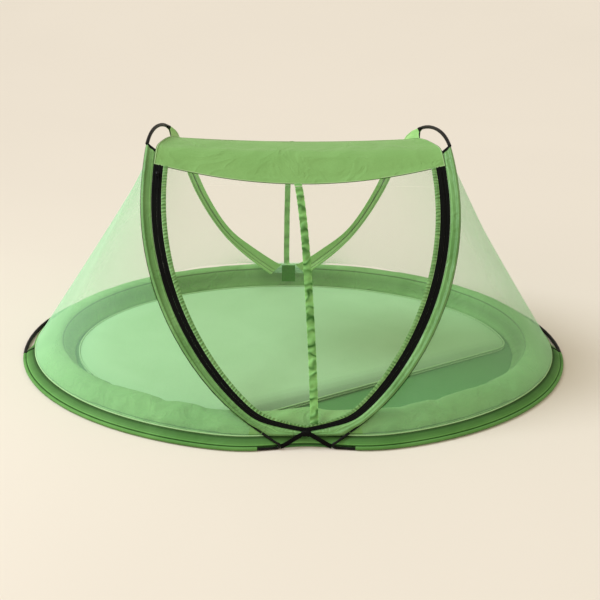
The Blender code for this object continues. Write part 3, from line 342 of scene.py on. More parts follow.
# dark: the painted shade laid into the folds of the gathers
gathered = {
    "bindingCloth": {"light": (0.25, 0.47, 0.165), "dark": (0.07, 0.19, 0.045), "pitch": 0.013,
                     "slant": 12.0, "narrow": 3.0, "wander": 1.6, "depth": 0.002,
                     # a painted highlight along the binding's outer edge
                     "seams": ((0.0, 0.0022, 1.7, 0.0),)},
    "stripCloth": {"light": (0.28, 0.6, 0.175), "dark": (0.032, 0.13, 0.018), "pitch": 0.041,
                   "slant": 4.0, "narrow": 2.2, "wander": 2.3, "depth": 0.003,
                   "seams": ((0.0, 0.002, 1.35, 0.0), (0.027, 0.002, 1.35, 0.0))},
    # a lighter copy of the strip cloth, painted light for light shining through it
    "backStripCloth": {"light": (0.31, 0.66, 0.2), "dark": (0.16, 0.4, 0.09), "pitch": 0.05,
                       "slant": 5.0, "narrow": 2.0, "wander": 1.2, "depth": 0.003},
}
netLook = {"colour": (0.52, 0.93, 0.56), "faceOn": 0.17, "edgeOn": 0.56, "rough": 0.6}
doorNetLook = {"colour": (0.84, 0.87, 0.72), "faceOn": 0.045, "edgeOn": 0.30, "rough": 0.7}
hardParts = {
    "blackWire": {"light": (0.007, 0.007, 0.0065), "dark": (0.003, 0.003, 0.003),
                  "rough": (0.30, 0.46), "metal": 0.0, "scale": 300.0, "depth": 0.0002,
                  "coat": 0.0, "shine": 0.16},
    "blackGrip": {"light": (0.008, 0.0075, 0.0065), "dark": (0.004, 0.0038, 0.0034),
                  "rough": (0.36, 0.52), "metal": 0.0, "scale": 900.0, "depth": 0.0002,
                  "coat": 0.0, "shine": 0.14},
    "zipMetal": {"light": (0.008, 0.0084, 0.0075), "dark": (0.004, 0.004, 0.004),
                 "rough": (0.25, 0.42), "metal": 0.2, "scale": 500.0, "depth": 0.0001,
                 "coat": 0.03, "shine": 0.2},
}
paints = {}


def addSeamsAndPaintedLight(tree, look, surface, colour):
    # multiplies the colour along each line: stitched seams, and lines and bands of painted highlight
    # and painted shade
    stitched = []
    for place, width, change, height in look.get("seams", ()):
        seam = placeGroup(tree, "seam", {"Vector": surface}, Place=place, Width=width)
        shade = addNode(tree, "ShaderNodeMapRange", {"To Min": 1.0, "To Max": change},
                        {"Value": seam.outputs["Mark"]})
        colour = mixColour(tree, 1.0, colour, shade.outputs[0], "MULTIPLY")
        if height:
            stitched.append((seam.outputs["Mark"], height, 0.6))
    return colour, stitched


def makeCloth(name, look):
    material, tree, shader, place, surface = newMaterial(name)
    tone = placeTone(tree, place, 5.0, look["light"], look["dark"])
    weave = placeGroup(tree, "weave", {"Vector": surface}, Threads=look["threads"])
    scale, depth, share = look["crease"]
    creases = placeGroup(tree, "creases", {"Vector": place}, Scale=scale)
    worn = addNode(tree, "ShaderNodeMapRange", {"To Min": 0.88, "To Max": 1.08},
                   {"Value": weave.outputs["Shade"]})
    colour = mixColour(tree, 1.0, tone.outputs["Colour"], worn.outputs[0], "MULTIPLY")
    # turns the line coordinate, for the mat's bands of painted shade along its straight edge
    if "paintedShadeTurn" in look:
        surface = addNode(tree, "ShaderNodeMapping", {"Rotation": (0.0, 0.0, look["paintedShadeTurn"])},
                          {"Vector": place}).outputs["Vector"]
    colour, stitched = addSeamsAndPaintedLight(tree, look, surface, colour)
    tree.links.new(colour, shader.inputs["Base Color"])
    low, high = look["rough"] - 0.08, look["rough"] + 0.08
    rough = addNode(tree, "ShaderNodeMapRange", {"To Min": low, "To Max": high},
                    {"Value": creases.outputs["Height"]})
    tree.links.new(rough.outputs[0], shader.inputs["Roughness"])
    shader.inputs["Sheen Weight"].default_value = look["sheen"]
    shader.inputs["Sheen Roughness"].default_value = 0.4
    shader.inputs["Specular IOR Level"].default_value = look.get("shine", 0.09)
    addBump(tree, shader, [(creases.outputs["Height"], depth, share),
                           (weave.outputs["Height"], 0.0002, 0.25)] + stitched)
    return material


def makeGathered(name, look):
    material, tree, shader, place, surface = newMaterial(name)
    puckers = placeGroup(tree, "puckers", {"Vector": surface}, Pitch=look["pitch"],
                         Wander=look["wander"], Slant=look["slant"], Narrow=look["narrow"])
    between = [(a + b) / 2.0 for a, b in zip(look["light"], look["dark"])]
    tone = placeTone(tree, place, 22.0, look["light"], between)
    weave = placeGroup(tree, "weave", {"Vector": surface}, Threads=700.0)
    # painted shade in the folds of the gathers
    colour = mixColour(tree, puckers.outputs["Mark"], tone.outputs["Colour"], (*look["dark"], 1.0))
    colour, stitched = addSeamsAndPaintedLight(tree, look, surface, colour)
    tree.links.new(colour, shader.inputs["Base Color"])
    shader.inputs["Roughness"].default_value = 0.55
    shader.inputs["Sheen Weight"].default_value = 0.01
    shader.inputs["Specular IOR Level"].default_value = 0.12
    addBump(tree, shader, [(puckers.outputs["Height"], look["depth"], 0.8),
                           (weave.outputs["Height"], 0.0002, 0.25)] + stitched)
    return material


def makeNet(name, look):
    material, tree, shader, place, surface = newMaterial(name)
    tone = placeTone(tree, place, 4.0, look["colour"], [0.9 * c for c in look["colour"]])
    tree.links.new(tone.outputs["Colour"], shader.inputs["Base Color"])
    facing = addNode(tree, "ShaderNodeLayerWeight", {"Blend": 0.35})
    alpha = addNode(tree, "ShaderNodeMapRange", {"To Min": look["faceOn"], "To Max": look["edgeOn"]},
                    {"Value": facing.outputs["Facing"]})
    weave = placeGroup(tree, "weave", {"Vector": surface}, Threads=320.0)
    thread = addNode(tree, "ShaderNodeMapRange", {"To Min": 0.85, "To Max": 1.15},
                     {"Value": weave.outputs["Shade"]})
    tree.links.new(calc(tree, "MULTIPLY", alpha.outputs[0], thread.outputs[0], clamp=True),
                   shader.inputs["Alpha"])
    shader.inputs["Roughness"].default_value = look["rough"]
    shader.inputs["Specular IOR Level"].default_value = 0.2
    return material


def makeHard(name, look):
    material, tree, shader, place, _ = newMaterial(name)
    tone = placeTone(tree, place, 30.0, look["light"], look["dark"])
    tree.links.new(tone.outputs["Colour"], shader.inputs["Base Color"])
    grain = addNode(tree, "ShaderNodeTexNoise", {"Scale": look["scale"], "Detail": 3.0},
                    {"Vector": place})
    low, high = look["rough"]
    rough = addNode(tree, "ShaderNodeMapRange", {"To Min": low, "To Max": high},
                    {"Value": grain.outputs["Fac"]})
    tree.links.new(rough.outputs[0], shader.inputs["Roughness"])
    shader.inputs["Metallic"].default_value = look["metal"]
    shader.inputs["Specular IOR Level"].default_value = look["shine"]
    shader.inputs["Coat Weight"].default_value = look["coat"]
    addBump(tree, shader, [(grain.outputs["Fac"], look["depth"], 0.5)])
    return material


def makeFloor():
    material, tree, shader, place, _ = newMaterial("studioFloor")
    colour = studio["floorColour"]
    tone = placeTone(tree, place, 0.35, colour, [0.97 * c for c in colour])
    tree.links.new(tone.outputs["Colour"], shader.inputs["Base Color"])
    shader.inputs["Roughness"].default_value = 0.9
    shader.inputs["Specular IOR Level"].default_value = 0.1
    return material


# the hoops run on the same lines as the solids; an arch is measured by angles, from -90 at its
# front bend over 0 at the top to 90 at the back, with a mark every markTurn
hoop = {
    "halfWidth": 1.0, "halfDepth": 0.76, "archHeight": 0.8,
    "pinchDepth": 0.045, "pinchWidth": 0.16,
    "wireRadius": 0.003, "footRadius": 0.0042, "tubeRadius": 0.0065, "rimHeight": 0.0068,
    "footAngle": -85.1, "wireRoom": 0.0006,
    "sleeve": 0.034, "tape": 0.0145, "coil": 0.0045, "innerTape": 0.0145, "binding": 0.016,
    "gap": 0.0004, "zipTop": -22.0, "doorTop": -28.0, "zipBottom": -86.0, "cornerTurn": 2.6,
    "cornerSoft": 0.035,
    "backCorner": 76.0, "backTurn": 8.2, "backMiddle": 0.0274, "backSoft": 1.6, "lastAngle": 87.4,
    "markTurn": 11.25,
    "widths": (0.091, 0.253, 0.388, 0.482, 0.533, 0.550, 0.546, 0.537, 0.522,
               0.498, 0.471, 0.447, 0.423, 0.387, 0.320, 0.205, 0.023),
    "depths": (-0.937, -0.828, -0.676, -0.514, -0.353, -0.199, -0.058, 0.072, 0.208,
               0.368, 0.526, 0.662, 0.759, 0.811, 0.820, 0.789, 0.728),
    "heights": (0.019, 0.133, 0.286, 0.463, 0.638, 0.790, 0.904, 0.974, 0.998,
                0.979, 0.920, 0.825, 0.699, 0.549, 0.381, 0.208, 0.048),
}


def secondSlopes(values):
    count = len(values)
    matrix, right = np.eye(count), np.zeros(count)
    for i in range(1, count - 1):
        matrix[i, i - 1:i + 2] = (1.0, 4.0, 1.0)
        right[i] = 6.0 * (values[i - 1] - 2.0 * values[i] + values[i + 1])
    return np.linalg.solve(matrix, right)


archTable = [np.array(hoop["widths"]) * hoop["halfWidth"], np.array(hoop["depths"]) * hoop["halfDepth"],
             np.array(hoop["heights"]) * hoop["archHeight"]]
archSlopes = [secondSlopes(values) for values in archTable]


def archPoint(angle, inwards=0.0):  # on the right arch
    position = (angle + 90.0) / hoop["markTurn"]
    i = int(min(max(math.floor(position), 0), len(hoop["widths"]) - 2))
    u = position - i
    v = 1.0 - u
    x, y, z = (v * t[i] + u * t[i + 1] + ((v ** 3 - v) * s[i] + (u ** 3 - u) * s[i + 1]) / 6.0
               for t, s in zip(archTable, archSlopes))
    return Vector((x - inwards, y, z))


def archRun(angle):
    return (archPoint(angle + 0.5) - archPoint(angle - 0.5)).normalized()


def faceNormal(angle):
    run = archRun(angle)
    return Vector((0.0, -run.z, run.y)).normalized()


roof = {
    "drop": 0.044, "corner": 12.0, "gripFront": -10.8, "sleeveBack": 20.9,
    "angles": (-20.0, -13.0, -6.0, 0.0, 6.0, 12.0, 20.0, 24.0, 28.0, 33.0, 38.0, 45.0, 52.0),
    "shares": (0.0, 0.0, 0.6, 0.88, 0.98, 1.0, 0.93, 0.82, 0.66, 0.41, 0.18, 0.0, 0.0),
    "blur": (-2.5, -1.0, 1.0, 2.5),
}


def roofDrop(angle):  # how far the roof lies below the arches, without kinks
    near = [float(np.interp(angle + turn, roof["angles"], roof["shares"])) for turn in roof["blur"]]
    return roof["drop"] * sum(near) / len(near)


def seamPoint(angle, inwards):
    return archPoint(angle, inwards) - faceNormal(angle) * roofDrop(angle)


def wireSide(angle):  # from the wire's middle line to the cloth beside it
    lean = math.sqrt(max(1.0 - archRun(angle).x ** 2, 0.05))
    radius = hoop["footRadius"] if angle < hoop["footAngle"] else hoop["wireRadius"]
    return (radius + hoop["wireRoom"]) / lean


def rimPoint(angle, inset, height):  # on the base, inset from its hoop
    c, s = math.cos(math.radians(angle)), math.sin(math.radians(angle))
    out = Vector((c / hoop["halfWidth"], s / hoop["halfDepth"])).normalized()
    x, y = hoop["halfWidth"] * c - inset * out.x, hoop["halfDepth"] * s - inset * out.y
    if y < 0.0:
        y *= 1.0 - hoop["pinchDepth"] / hoop["halfDepth"] * math.exp(-(x / hoop["pinchWidth"]) ** 2)
    return Vector((x, y, height))


def rimOut(angle):
    step = rimPoint(angle + 0.2, 0.05, 0.0) - rimPoint(angle - 0.2, 0.05, 0.0)
    return Vector((step.y, -step.x, 0.0)).normalized()


def ease(value):
    value = min(max(value, 0.0), 1.0)
    return value * value * (3.0 - 2.0 * value)


def steps(start, end, count):
    return [start + (end - start) * i / (count - 1) for i in range(count)]


def soften(line, width):  # rounds a line's corners by sliding averages, and keeps its ends
    for _ in range(2):
        spots = np.array([tuple(spot) for spot in line])
        run = np.concatenate([[0.0], np.linalg.norm(np.diff(spots, axis=0), axis=1).cumsum()])
        reach = width * np.minimum(1.0, np.minimum(run, run[-1] - run) / width)
        made = sum(np.stack([np.interp(run + shift * reach, run, spots[:, k]) for k in range(3)], 1)
                   for shift in steps(-1.0, 1.0, 9)) / 9.0
        line = [Vector(spot) for spot in made]
    return line


def flip(spot):
    return Vector((-spot.x, spot.y, spot.z))


def flipRows(rows):
    return [[flip(spot) for spot in row] for row in rows]


def rail(inwards, bottom, top):  # right half of the zip's U
    corner = bottom + hoop["cornerTurn"]
    line = [(a, archPoint(a, inwards)) for a in steps(top, corner, 60)]
    reach = line[-1][1].x
    for share in steps(0.0, 1.0, 11)[1:]:
        angle = corner + (bottom - corner) * ease(share)
        spot = archPoint(angle)
        line.append((angle, Vector((reach - reach * share, spot.y, spot.z))))
    soft = soften([spot for _, spot in line], hoop["cornerSoft"])
    return [(a, spot) for (a, _), spot in zip(line, soft)]


def backBend(reach, count):  # the bend at the foot of the back, drawn in to the patch
    bend = []
    for share in steps(0.0, 1.0, count)[1:]:
        angle = hoop["backCorner"] + hoop["backTurn"] * ease(share)
        spot = archPoint(angle)
        place = Vector((reach + (hoop["backMiddle"] - reach) * share, spot.y, spot.z))
        bend.append((share, angle, place))
    return bend


cut = {}  # each cloth's greatest width and length, and its area, as it is laid


def layCloth(name, points):  # a grid primitive, its corners laid on rows of points
    rows, columns = len(points), len(points[0])
    bpy.ops.object.select_all(action="DESELECT")
    bpy.ops.mesh.primitive_grid_add(x_subdivisions=columns - 1, y_subdivisions=rows - 1, size=1.0)
    piece = bpy.context.object
    piece.name = piece.data.name = name
    laid = np.array([[tuple(spot) for spot in row] for row in points], float)
    piece.data.vertices.foreach_set("co", laid.ravel())
    across = np.linalg.norm(np.diff(laid, axis=1), axis=2)
    along = np.linalg.norm(np.diff(laid, axis=0), axis=2)
    a, b = laid[:-1, :-1], laid[1:, 1:]
    area = (np.linalg.norm(np.cross(laid[:-1, 1:] - a, b - a), axis=2)
            + np.linalg.norm(np.cross(b - a, laid[1:, :-1] - a), axis=2)).sum() / 2.0
    cut[name] = (float(across.sum(1).max()), float(along.sum(0).max()), float(area))
    u = np.concatenate([np.zeros((rows, 1)), across.cumsum(1)], 1)
    middle = along[:, columns // 2]
    v = np.repeat(np.concatenate([[0.0], middle.cumsum()])[:, None], columns, 1)
    corners = np.zeros(len(piece.data.loops), int)
    piece.data.loops.foreach_get("vertex_index", corners)
    spread = np.stack([u.ravel()[corners], v.ravel()[corners]], 1)
    piece.data.uv_layers.active.data.foreach_set("uv", spread.ravel())
    piece.data.update()
    return piece


def pick(piece):
    bpy.ops.object.select_all(action="DESELECT")
    piece.select_set(True)
    bpy.context.view_layer.objects.active = piece


def edit(piece):
    pick(piece)
    bpy.ops.object.mode_set(mode="EDIT")
    bpy.ops.mesh.select_all(action="SELECT")


def sew(piece, distance=0.00002):  # joins the seams of a form that closes on itself
    edit(piece)
    bpy.ops.mesh.remove_doubles(threshold=distance)
    bpy.ops.mesh.normals_make_consistent(inside=False)
    bpy.ops.object.mode_set(mode="OBJECT")


def applyAll(piece):
    pick(piece)
    for modifier in [m.name for m in piece.modifiers]:
        bpy.ops.object.modifier_apply(modifier=modifier)


def thicken(piece, thickness):
    wall = piece.modifiers.new("thickness", "SOLIDIFY")
    wall.thickness = thickness
    wall.offset = 0.0
    applyAll(piece)


def smooth(piece, angle):
    pick(piece)
    bpy.ops.object.shade_smooth_by_angle(angle=math.radians(angle))


def dress(piece, paint, slot, body="tent_frame", stands=()):
    piece.data.materials.clear()
    piece.data.materials.append(paints[paint])
    if body:
        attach(piece, body)
    if stands:
        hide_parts(*stands)


def finish(piece, thickness, angle, *finishing):
    thicken(piece, thickness)
    smooth(piece, angle)
    dress(piece, *finishing)


sheetValues = {"hem": 1.02, "least": 0.0101}


def asSheet(piece, restsOn=()):
    wide, long, area = cut[piece.name]
    if min(wide, long) < sheetValues["least"]:  # a hem or thin trim, and no sheet of its own
        return


def ribbon(rows, columns, rise):  # points of a strip between two edges, raised by rise
    points, run, before = [], 0.0, None
    for first, last, out in rows:
        middle = (first + last) / 2.0
        run += (middle - before).length if before else 0.0
        before = middle
        points.append([first.lerp(last, share) + out * rise(share, run)
                       for share in steps(0.0, 1.0, columns)])
    return points


def wavy(run, pitch, seed):
    return noise.noise(Vector((run / pitch, seed, 0.0)))


def halves(piece):  # cut at the middle, shading kept across the cut
    normals = np.zeros(len(piece.data.vertices) * 3, np.float32)
    piece.data.vertex_normals.foreach_get("vector", normals)
    kept = piece.data.attributes.new("shading", "FLOAT_VECTOR", "POINT")
    kept.data.foreach_set("vector", normals)
    made = []
    for side, tag in ((-1.0, "left"), (1.0, "right")):
        half = piece.copy()
        half.data = piece.data.copy()
        bpy.context.scene.collection.objects.link(half)
        half.name = half.data.name = piece.name + "_" + tag
        edit(half)
        bpy.ops.mesh.bisect(plane_co=(0.0, 0.0, 0.0), plane_no=(side, 0.0, 0.0),
                            clear_inner=True, use_fill=True)
        bpy.ops.object.mode_set(mode="OBJECT")
        values = half.data.attributes["shading"].data
        half.data.normals_split_custom_set_from_vertices([tuple(v.vector) for v in values])
        half.data.attributes.remove(half.data.attributes["shading"])
        made.append(half)
    bpy.data.objects.remove(piece)
    return made


def foldOver(piece, side, near, far):  # for a half of the base: bakes its placement into its mesh and bends nothing
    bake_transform(piece)


settling = {"quality": 5, "mass": 0.15, "stretch": 15.0, "shear": 5.0, "bend": 0.25}


# lets the cloth find its own folds; held says how firmly each point is kept, from 0 to 1,
# travel how far a point can go, and calm how much of its way it keeps
def settle(piece, held, pressure, growth, travel, gravity=0.0, frames=18, calm=None):
    rest = np.zeros(len(piece.data.vertices) * 3)
    piece.data.vertices.foreach_get("co", rest)
    rest = rest.reshape(-1, 3)
    group = piece.vertex_groups.new(name="held")
    kept = [min(max(held(Vector(spot)), 0.0), 1.0) for spot in rest]
    for index, weight in enumerate(kept):
        if weight > 0.0:
            group.add([index], weight, "REPLACE")
    cloth = piece.modifiers.new("cloth", "CLOTH")
    values = cloth.settings
    values.quality = settling["quality"]
    values.mass = settling["mass"]
    values.tension_stiffness = values.compression_stiffness = settling["stretch"]
    values.shear_stiffness = settling["shear"]
    values.bending_stiffness = settling["bend"]
    values.vertex_group_mass = "held"
    values.shrink_min = -growth
    values.use_pressure = pressure != 0.0
    values.uniform_pressure_force = pressure
    values.effector_weights.gravity = gravity
    cloth.collision_settings.use_collision = False
    scene = bpy.context.scene
    for number in range(1, frames + 1):
        scene.frame_set(number)
    shape = piece.evaluated_get(bpy.context.evaluated_depsgraph_get())
    moved = np.zeros(len(rest) * 3)
    shape.data.vertices.foreach_get("co", moved)
    shift = moved.reshape(-1, 3) - rest
    far = np.linalg.norm(shift, axis=1)
    share = travel * np.tanh(far / travel) / np.maximum(far, 1e-9)
    if calm:
        share *= np.array([calm(Vector(spot)) for spot in rest])
    piece.modifiers.remove(cloth)
    piece.vertex_groups.clear()
    scene.frame_set(1)
    piece.data.vertices.foreach_set("co", (rest + shift * share[:, None]).ravel())
    piece.data.update()
    print("settled", piece.name, "most", round(float(far.max()) * 1000.0, 1), "mm")


def setStudio():
    bpy.context.scene.view_settings.view_transform = "Standard"
    world = bpy.data.worlds.new("studioWorld")
    world.use_nodes = True
    back = world.node_tree.nodes["Background"]
    back.inputs["Color"].default_value = (*studio["worldColour"], 1.0)
    back.inputs["Strength"].default_value = studio["worldStrength"]
    bpy.context.scene.world = world
    bpy.ops.mesh.primitive_plane_add(size=studio["floorSize"],
                                     location=(0.0, 0.0, studio["floorHeight"]))
    ground = bpy.context.object
    ground.name = "studioFloor"
    ground.data.materials.append(makeFloor())
    addLamp("keyLight", *studio["key"])
    addLamp("sideLight", *studio["side"])


groups.update(weave=makeWeave(), creases=makeCreases(), tone=makeTone(), puckers=makePuckers(),
              seam=makeSeam())
for name, look in cloths.items():
    paints[name] = makeCloth(name, look)
for name, look in gathered.items():
    paints[name] = makeGathered(name, look)
paints["netCloth"] = makeNet("netCloth", netLook)
paints["doorNetCloth"] = makeNet("doorNetCloth", doorNetLook)
for name, look in hardParts.items():
    paints[name] = makeHard(name, look)
placeCamera()
setStudio()
print("camera, light and materials ready")


def paintSolids():  # the solids that show keep their meshes
    hard = {"arch_wire": "blackWire", "base_wire": "blackWire", "arch_grip": "blackGrip",
            "base_grip": "blackGrip", "front_foot": "blackGrip", "zip_slider": "zipMetal"}
    for name, solid in frame["nodes"].items():
        for start, paint in hard.items():
            if name.startswith(start):
                solid.data.materials.clear()
                solid.data.materials.append(paints[paint])
                smooth(solid, 40.0)


# sleeves of the arches
sleeve = {
    "reach": 0.0336, "columns": 15, "thickness": 0.0009, "slack": 0.0006,
    "past": 0.0006, "wireCover": 0.0046, "tunnel": 0.0046, "hemShare": 0.36, "hemBelow": 0.0012,
    "roll": 0.0088, "rollPlace": 0.2, "rollWidth": 0.15, "flatFrom": 0.3, "crown": 0.0022,
    "ripple": 0.0016, "rippleScale": (24.0, 3.0, 1.4),
    "slant": 3.0, "slantTurn": 9.0, "belowZip": 0.15, "straightEnd": -83.55, "frontMiddle": 0.0083,
    "bendShares": (0.0, 0.2, 0.4, 0.6), "bendAngles": (-84.8, -86.2, -87.4),
    "overGrip": 0.7, "fanTurn": 9.0, "fanCorner": 0.4,
    "frontTape": 0.0095, "backTape": 0.006, "tapeLift": 0.0013, "tapeThickness": 0.0014,
}


def sleeveRise(share, run, seed):
    # a roll over the wire, a dip, and a flatter half with slanting folds
    roll = math.exp(-((share - sleeve["rollPlace"]) / sleeve["rollWidth"]) ** 2) * sleeve["roll"]
    past = (share - sleeve["flatFrom"]) / (1.0 - sleeve["flatFrom"])
    flat = sleeve["crown"] * math.sin(math.pi * min(max(past, 0.0), 1.0))
    along, lean, across = sleeve["rippleScale"]
    slant = noise.noise(Vector((run * along + share * lean, share * across, seed)))
    fade = math.sin(math.pi * min(max(share, 0.0), 1.0)) ** 0.7
    return roll + flat + sleeve["ripple"] * slant * fade


def frontSleeveRows():
    rows = []
    for a in steps(roof["gripFront"], sleeve["straightEnd"], 150):
        out = faceNormal(a)
        slant = sleeve["slant"] * (1.0 - ease((roof["gripFront"] - a) / sleeve["slantTurn"]))
        last = seamPoint(a - slant, sleeve["reach"])
        rows.append((archPoint(a, -sleeve["past"]) + out * sleeve["wireCover"], last, out))
    bottom = hoop["zipBottom"] - sleeve["belowZip"]
    corner = bottom + hoop["cornerTurn"]
    reach, stop = archPoint(corner, sleeve["reach"]).x, sleeve["frontMiddle"]
    # the outer edge leaves the wire beside the foot and runs on to the middle
    shares, angles = sleeve["bendShares"], (corner,) + sleeve["bendAngles"]
    end, left = archPoint(angles[-1], wireSide(angles[-1])), shares[-1]
    for share in steps(0.0, 1.0, 17)[1:]:
        angle = corner + (bottom - corner) * ease(share)
        spot = archPoint(angle)
        last = Vector((reach + (stop - reach) * share, spot.y, spot.z))
        if share <= left:
            a = float(np.interp(share, shares, angles))
            inwards = -sleeve["past"] + (wireSide(a) + sleeve["past"]) * ease(share / 0.3)
            first = archPoint(a, inwards)
            lift = sleeve["wireCover"] * (1.0 - ease(share / 0.5))
        else:
            first = Vector((end.x + (stop - end.x) * (share - left) / (1.0 - left), end.y, end.z))
            lift = 0.0
        out = faceNormal(max(angle, hoop["zipBottom"]))
        rows.append((first + out * lift, last, out))
    return softInner(rows, hoop["cornerSoft"])


def softInner(rows, width):
    inner = soften([last for _, last, _ in rows], width)
    return [(first, last, out) for (first, _, out), last in zip(rows, inner)]


def backSleeveRows():
    rows = []
    for a in steps(roof["sleeveBack"] - sleeve["overGrip"], hoop["backCorner"], 110):
        # the first rows fan out to the corner of the roof
        near = ease((a - roof["sleeveBack"] + sleeve["overGrip"]) / sleeve["fanTurn"])
        b = (roof["corner"] + sleeve["fanCorner"]) * (1.0 - near) + a * near
        first = archPoint(a, -sleeve["past"]) + faceNormal(a) * sleeve["wireCover"]
        last = seamPoint(b, sleeve["reach"] - sleeve["slack"] * roofDrop(b) / roof["drop"])
        run = archRun(a)
        out = run.cross(last - first).normalized()
        rows.append((first, last, out if out.z > 0.0 or a > 40.0 and out.y > 0.0 else -out))
    reach = archPoint(hoop["backCorner"], sleeve["reach"]).x
    for share, _, last in backBend(reach, 21):
        a = hoop["backCorner"] + (hoop["lastAngle"] - hoop["backCorner"]) * share
        out = faceNormal(a)
        rows.append((archPoint(a, -sleeve["past"]) + out * sleeve["wireCover"], last, out))
    return softInner(rows, hoop["cornerSoft"] * hoop["backSoft"])


def tunnel(rows, points):  # the hem below the wire, from the cloth round to the outer edge
    made = []
    for (first, last, out), row in zip(rows, points):
        centre = first - out * sleeve["wireCover"]
        towards = (last - centre).normalized()
        above = (out - towards * out.dot(towards)).normalized()
        hem = [first.lerp(last, sleeve["hemShare"]) - out * sleeve["hemBelow"]]
        for turn in steps(305.0, 125.0, 7):
            c, s = math.cos(math.radians(turn)), math.sin(math.radians(turn))
            hem.append(centre + (towards * c + above * s) * sleeve["tunnel"])
        made.append(hem + row[1:])
    return made


def edgeTape(name, points, outs, wide):  # webbing along the slanted top of a sleeve
    middle = len(points[0]) // 2
    start = points[0][middle]
    end = next(i for i, row in enumerate(points) if (row[middle] - start).length > wide)
    rows = []
    for j in range(len(points[0])):
        column = [points[i][j] + outs[i] * sleeve["tapeLift"] for i in range(end + 1)]
        rows.append([column[0] - (column[1] - column[0]) * 0.3] + column)
    piece = layCloth(name, rows)
    finish(piece, sleeve["tapeThickness"], 60.0, "webbingCloth", "black_zip")
    asSheet(piece)


def makeSleeves():
    for side, tag in ((1.0, "right"), (-1.0, "left")):
        for name, rows, seed in (("frontSleeve", frontSleeveRows(), 1.0),
                                 ("backSleeve", backSleeveRows(), 5.0)):
            def rise(share, run, seed=seed + side):
                return sleeveRise(share, run, seed) * min(1.0, run / 0.01 + 0.3)
            points = ribbon(rows, sleeve["columns"], rise)
            start = "front" if name.startswith("front") else "back"
            slanted = [row[:] for row in points]
            if start == "back":
                points = tunnel(rows, points)
            if side < 0:
                points, slanted = flipRows(points), flipRows(slanted)
            piece = layCloth(name + "_" + tag, points)
            # the back sleeves take the lighter copy of the sleeve fabric, with its painted light
            finish(piece, sleeve["thickness"], 60.0,
                   "sleeveCloth" if start == "front" else "rearSleeveCloth", "sleeve_green",
                   "tent_frame", (f"{start}_sleeve_upper_{tag}", f"{start}_sleeve_lower_{tag}"))
            asSheet(piece, [f"arch_wire_{tag}"])
            outs = [Vector((out.x * side, out.y, out.z)) for _, _, out in rows]
            edgeTape(f"{start}Tape_{tag}", slanted, outs, sleeve[start + "Tape"])
    print("sleeves sewn")


# roof
canopy = {
    "corner": -20.5, "drop": 6.3, "back": 24.0, "sag": 0.0127,
    "across": 96, "along": 44, "slow": 0.0035, "fan": 0.0016, "calmEdge": 0.25,
    "growth": 0.004, "travel": 0.005, "seamHold": 0.03, "thickness": 0.0008,
    "hemWidth": 0.0045, "hemOver": 0.0008, "hemRise": 0.0009, "hemThickness": 0.0018,
}


def canopyFront(x):  # angle of the roof's curved front edge
    share = x / archPoint(canopy["corner"], hoop["sleeve"] + hoop["gap"]).x
    return canopy["corner"] - canopy["drop"] * (1.0 - share * share)


def canopySpot(share, along):
    front = canopyFront(share * archPoint(canopy["corner"], hoop["sleeve"]).x)
    a = front * (1.0 - along) + canopy["back"] * along
    reach = archPoint(a, hoop["sleeve"] + hoop["gap"])
    out = faceNormal(a)
    low = roofDrop(a) + canopy["sag"] * (1.0 - share * share)
    return Vector((reach.x * share, reach.y, reach.z)) - out * low, out


def makeCanopy():
    points = []
    for along in steps(0.0, 1.0, canopy["along"] + 1):
        row = []
        for share in steps(-1.0, 1.0, canopy["across"] + 1):
            spot, out = canopySpot(share, along)
            inside = min(1.0 - abs(share), canopy["calmEdge"]) / canopy["calmEdge"]
            slow = noise.noise(Vector((share * 3.2 + along * 1.5, along * 1.6, 4.0)))
            fan = noise.noise(Vector(((share * 7.0 - along * 3.0), along * 1.2, 9.0)))
            row.append(spot + out * (canopy["slow"] * slow * inside + canopy["fan"] * fan))
        points.append(row)
    piece = layCloth("canopyCloth", points)
    sewn = points[0] + points[-1] + [row[i] for row in points for i in (0, -1)]
    seams = np.array([tuple(spot) for spot in sewn])

    def held(spot):
        near = np.linalg.norm(seams - np.array(spot), axis=1).min()
        return 1.0 - ease(near / canopy["seamHold"])
    settle(piece, held, 0.0, canopy["growth"], canopy["travel"], gravity=1.0)
    finish(piece, canopy["thickness"], 60.0, "canopyCloth", "canopy_green", "tent_frame",
           ("canopy",))
    asSheet(piece, ["frontSleeve_left", "frontSleeve_right"])
    lines = {"hemFront": [(s, 0.0) for s in steps(-1.0, 1.0, 81)],
             "hemBack": [(s, 1.0) for s in steps(-1.0, 1.0, 61)],
             "hemSide_right": [(1.0, s) for s in steps(0.0, 1.0, 41)],
             "hemSide_left": [(-1.0, s) for s in steps(0.0, 1.0, 41)]}
    for name, line in lines.items():
        rows = []
        for share, along in line:
            spot, out = canopySpot(share, along)
            if name.startswith("hemSide"):
                inner, _ = canopySpot(share * 0.99, along)
            else:
                inner, _ = canopySpot(share, min(max(along, 0.02), 0.98))
            way = (inner - spot).normalized()
            rows.append((spot - way * canopy["hemOver"], spot + way * canopy["hemWidth"], out))
        hem = layCloth(name, ribbon(rows, 3, lambda share, run: canopy["hemRise"]))
        finish(hem, canopy["hemThickness"], 60.0, "hemCloth", "canopy_green")
        asSheet(hem, ["canopyCloth"])
    print("roof hung")


# nets of the door side and the back; header gives, in degrees of the arch, how far the pieces
# between the roof and the door reach under their neighbours
header = {"netTop": 0.3, "netFoot": 0.15, "trimTop": 0.25, "trimFoot": 0.04}


def netPanel(name, points, body, node, restsOn=()):
    piece = layCloth(name, points)
    smooth(piece, 80.0)
    dress(piece, "doorNetCloth", "net", body, (node,))
    asSheet(piece, restsOn)


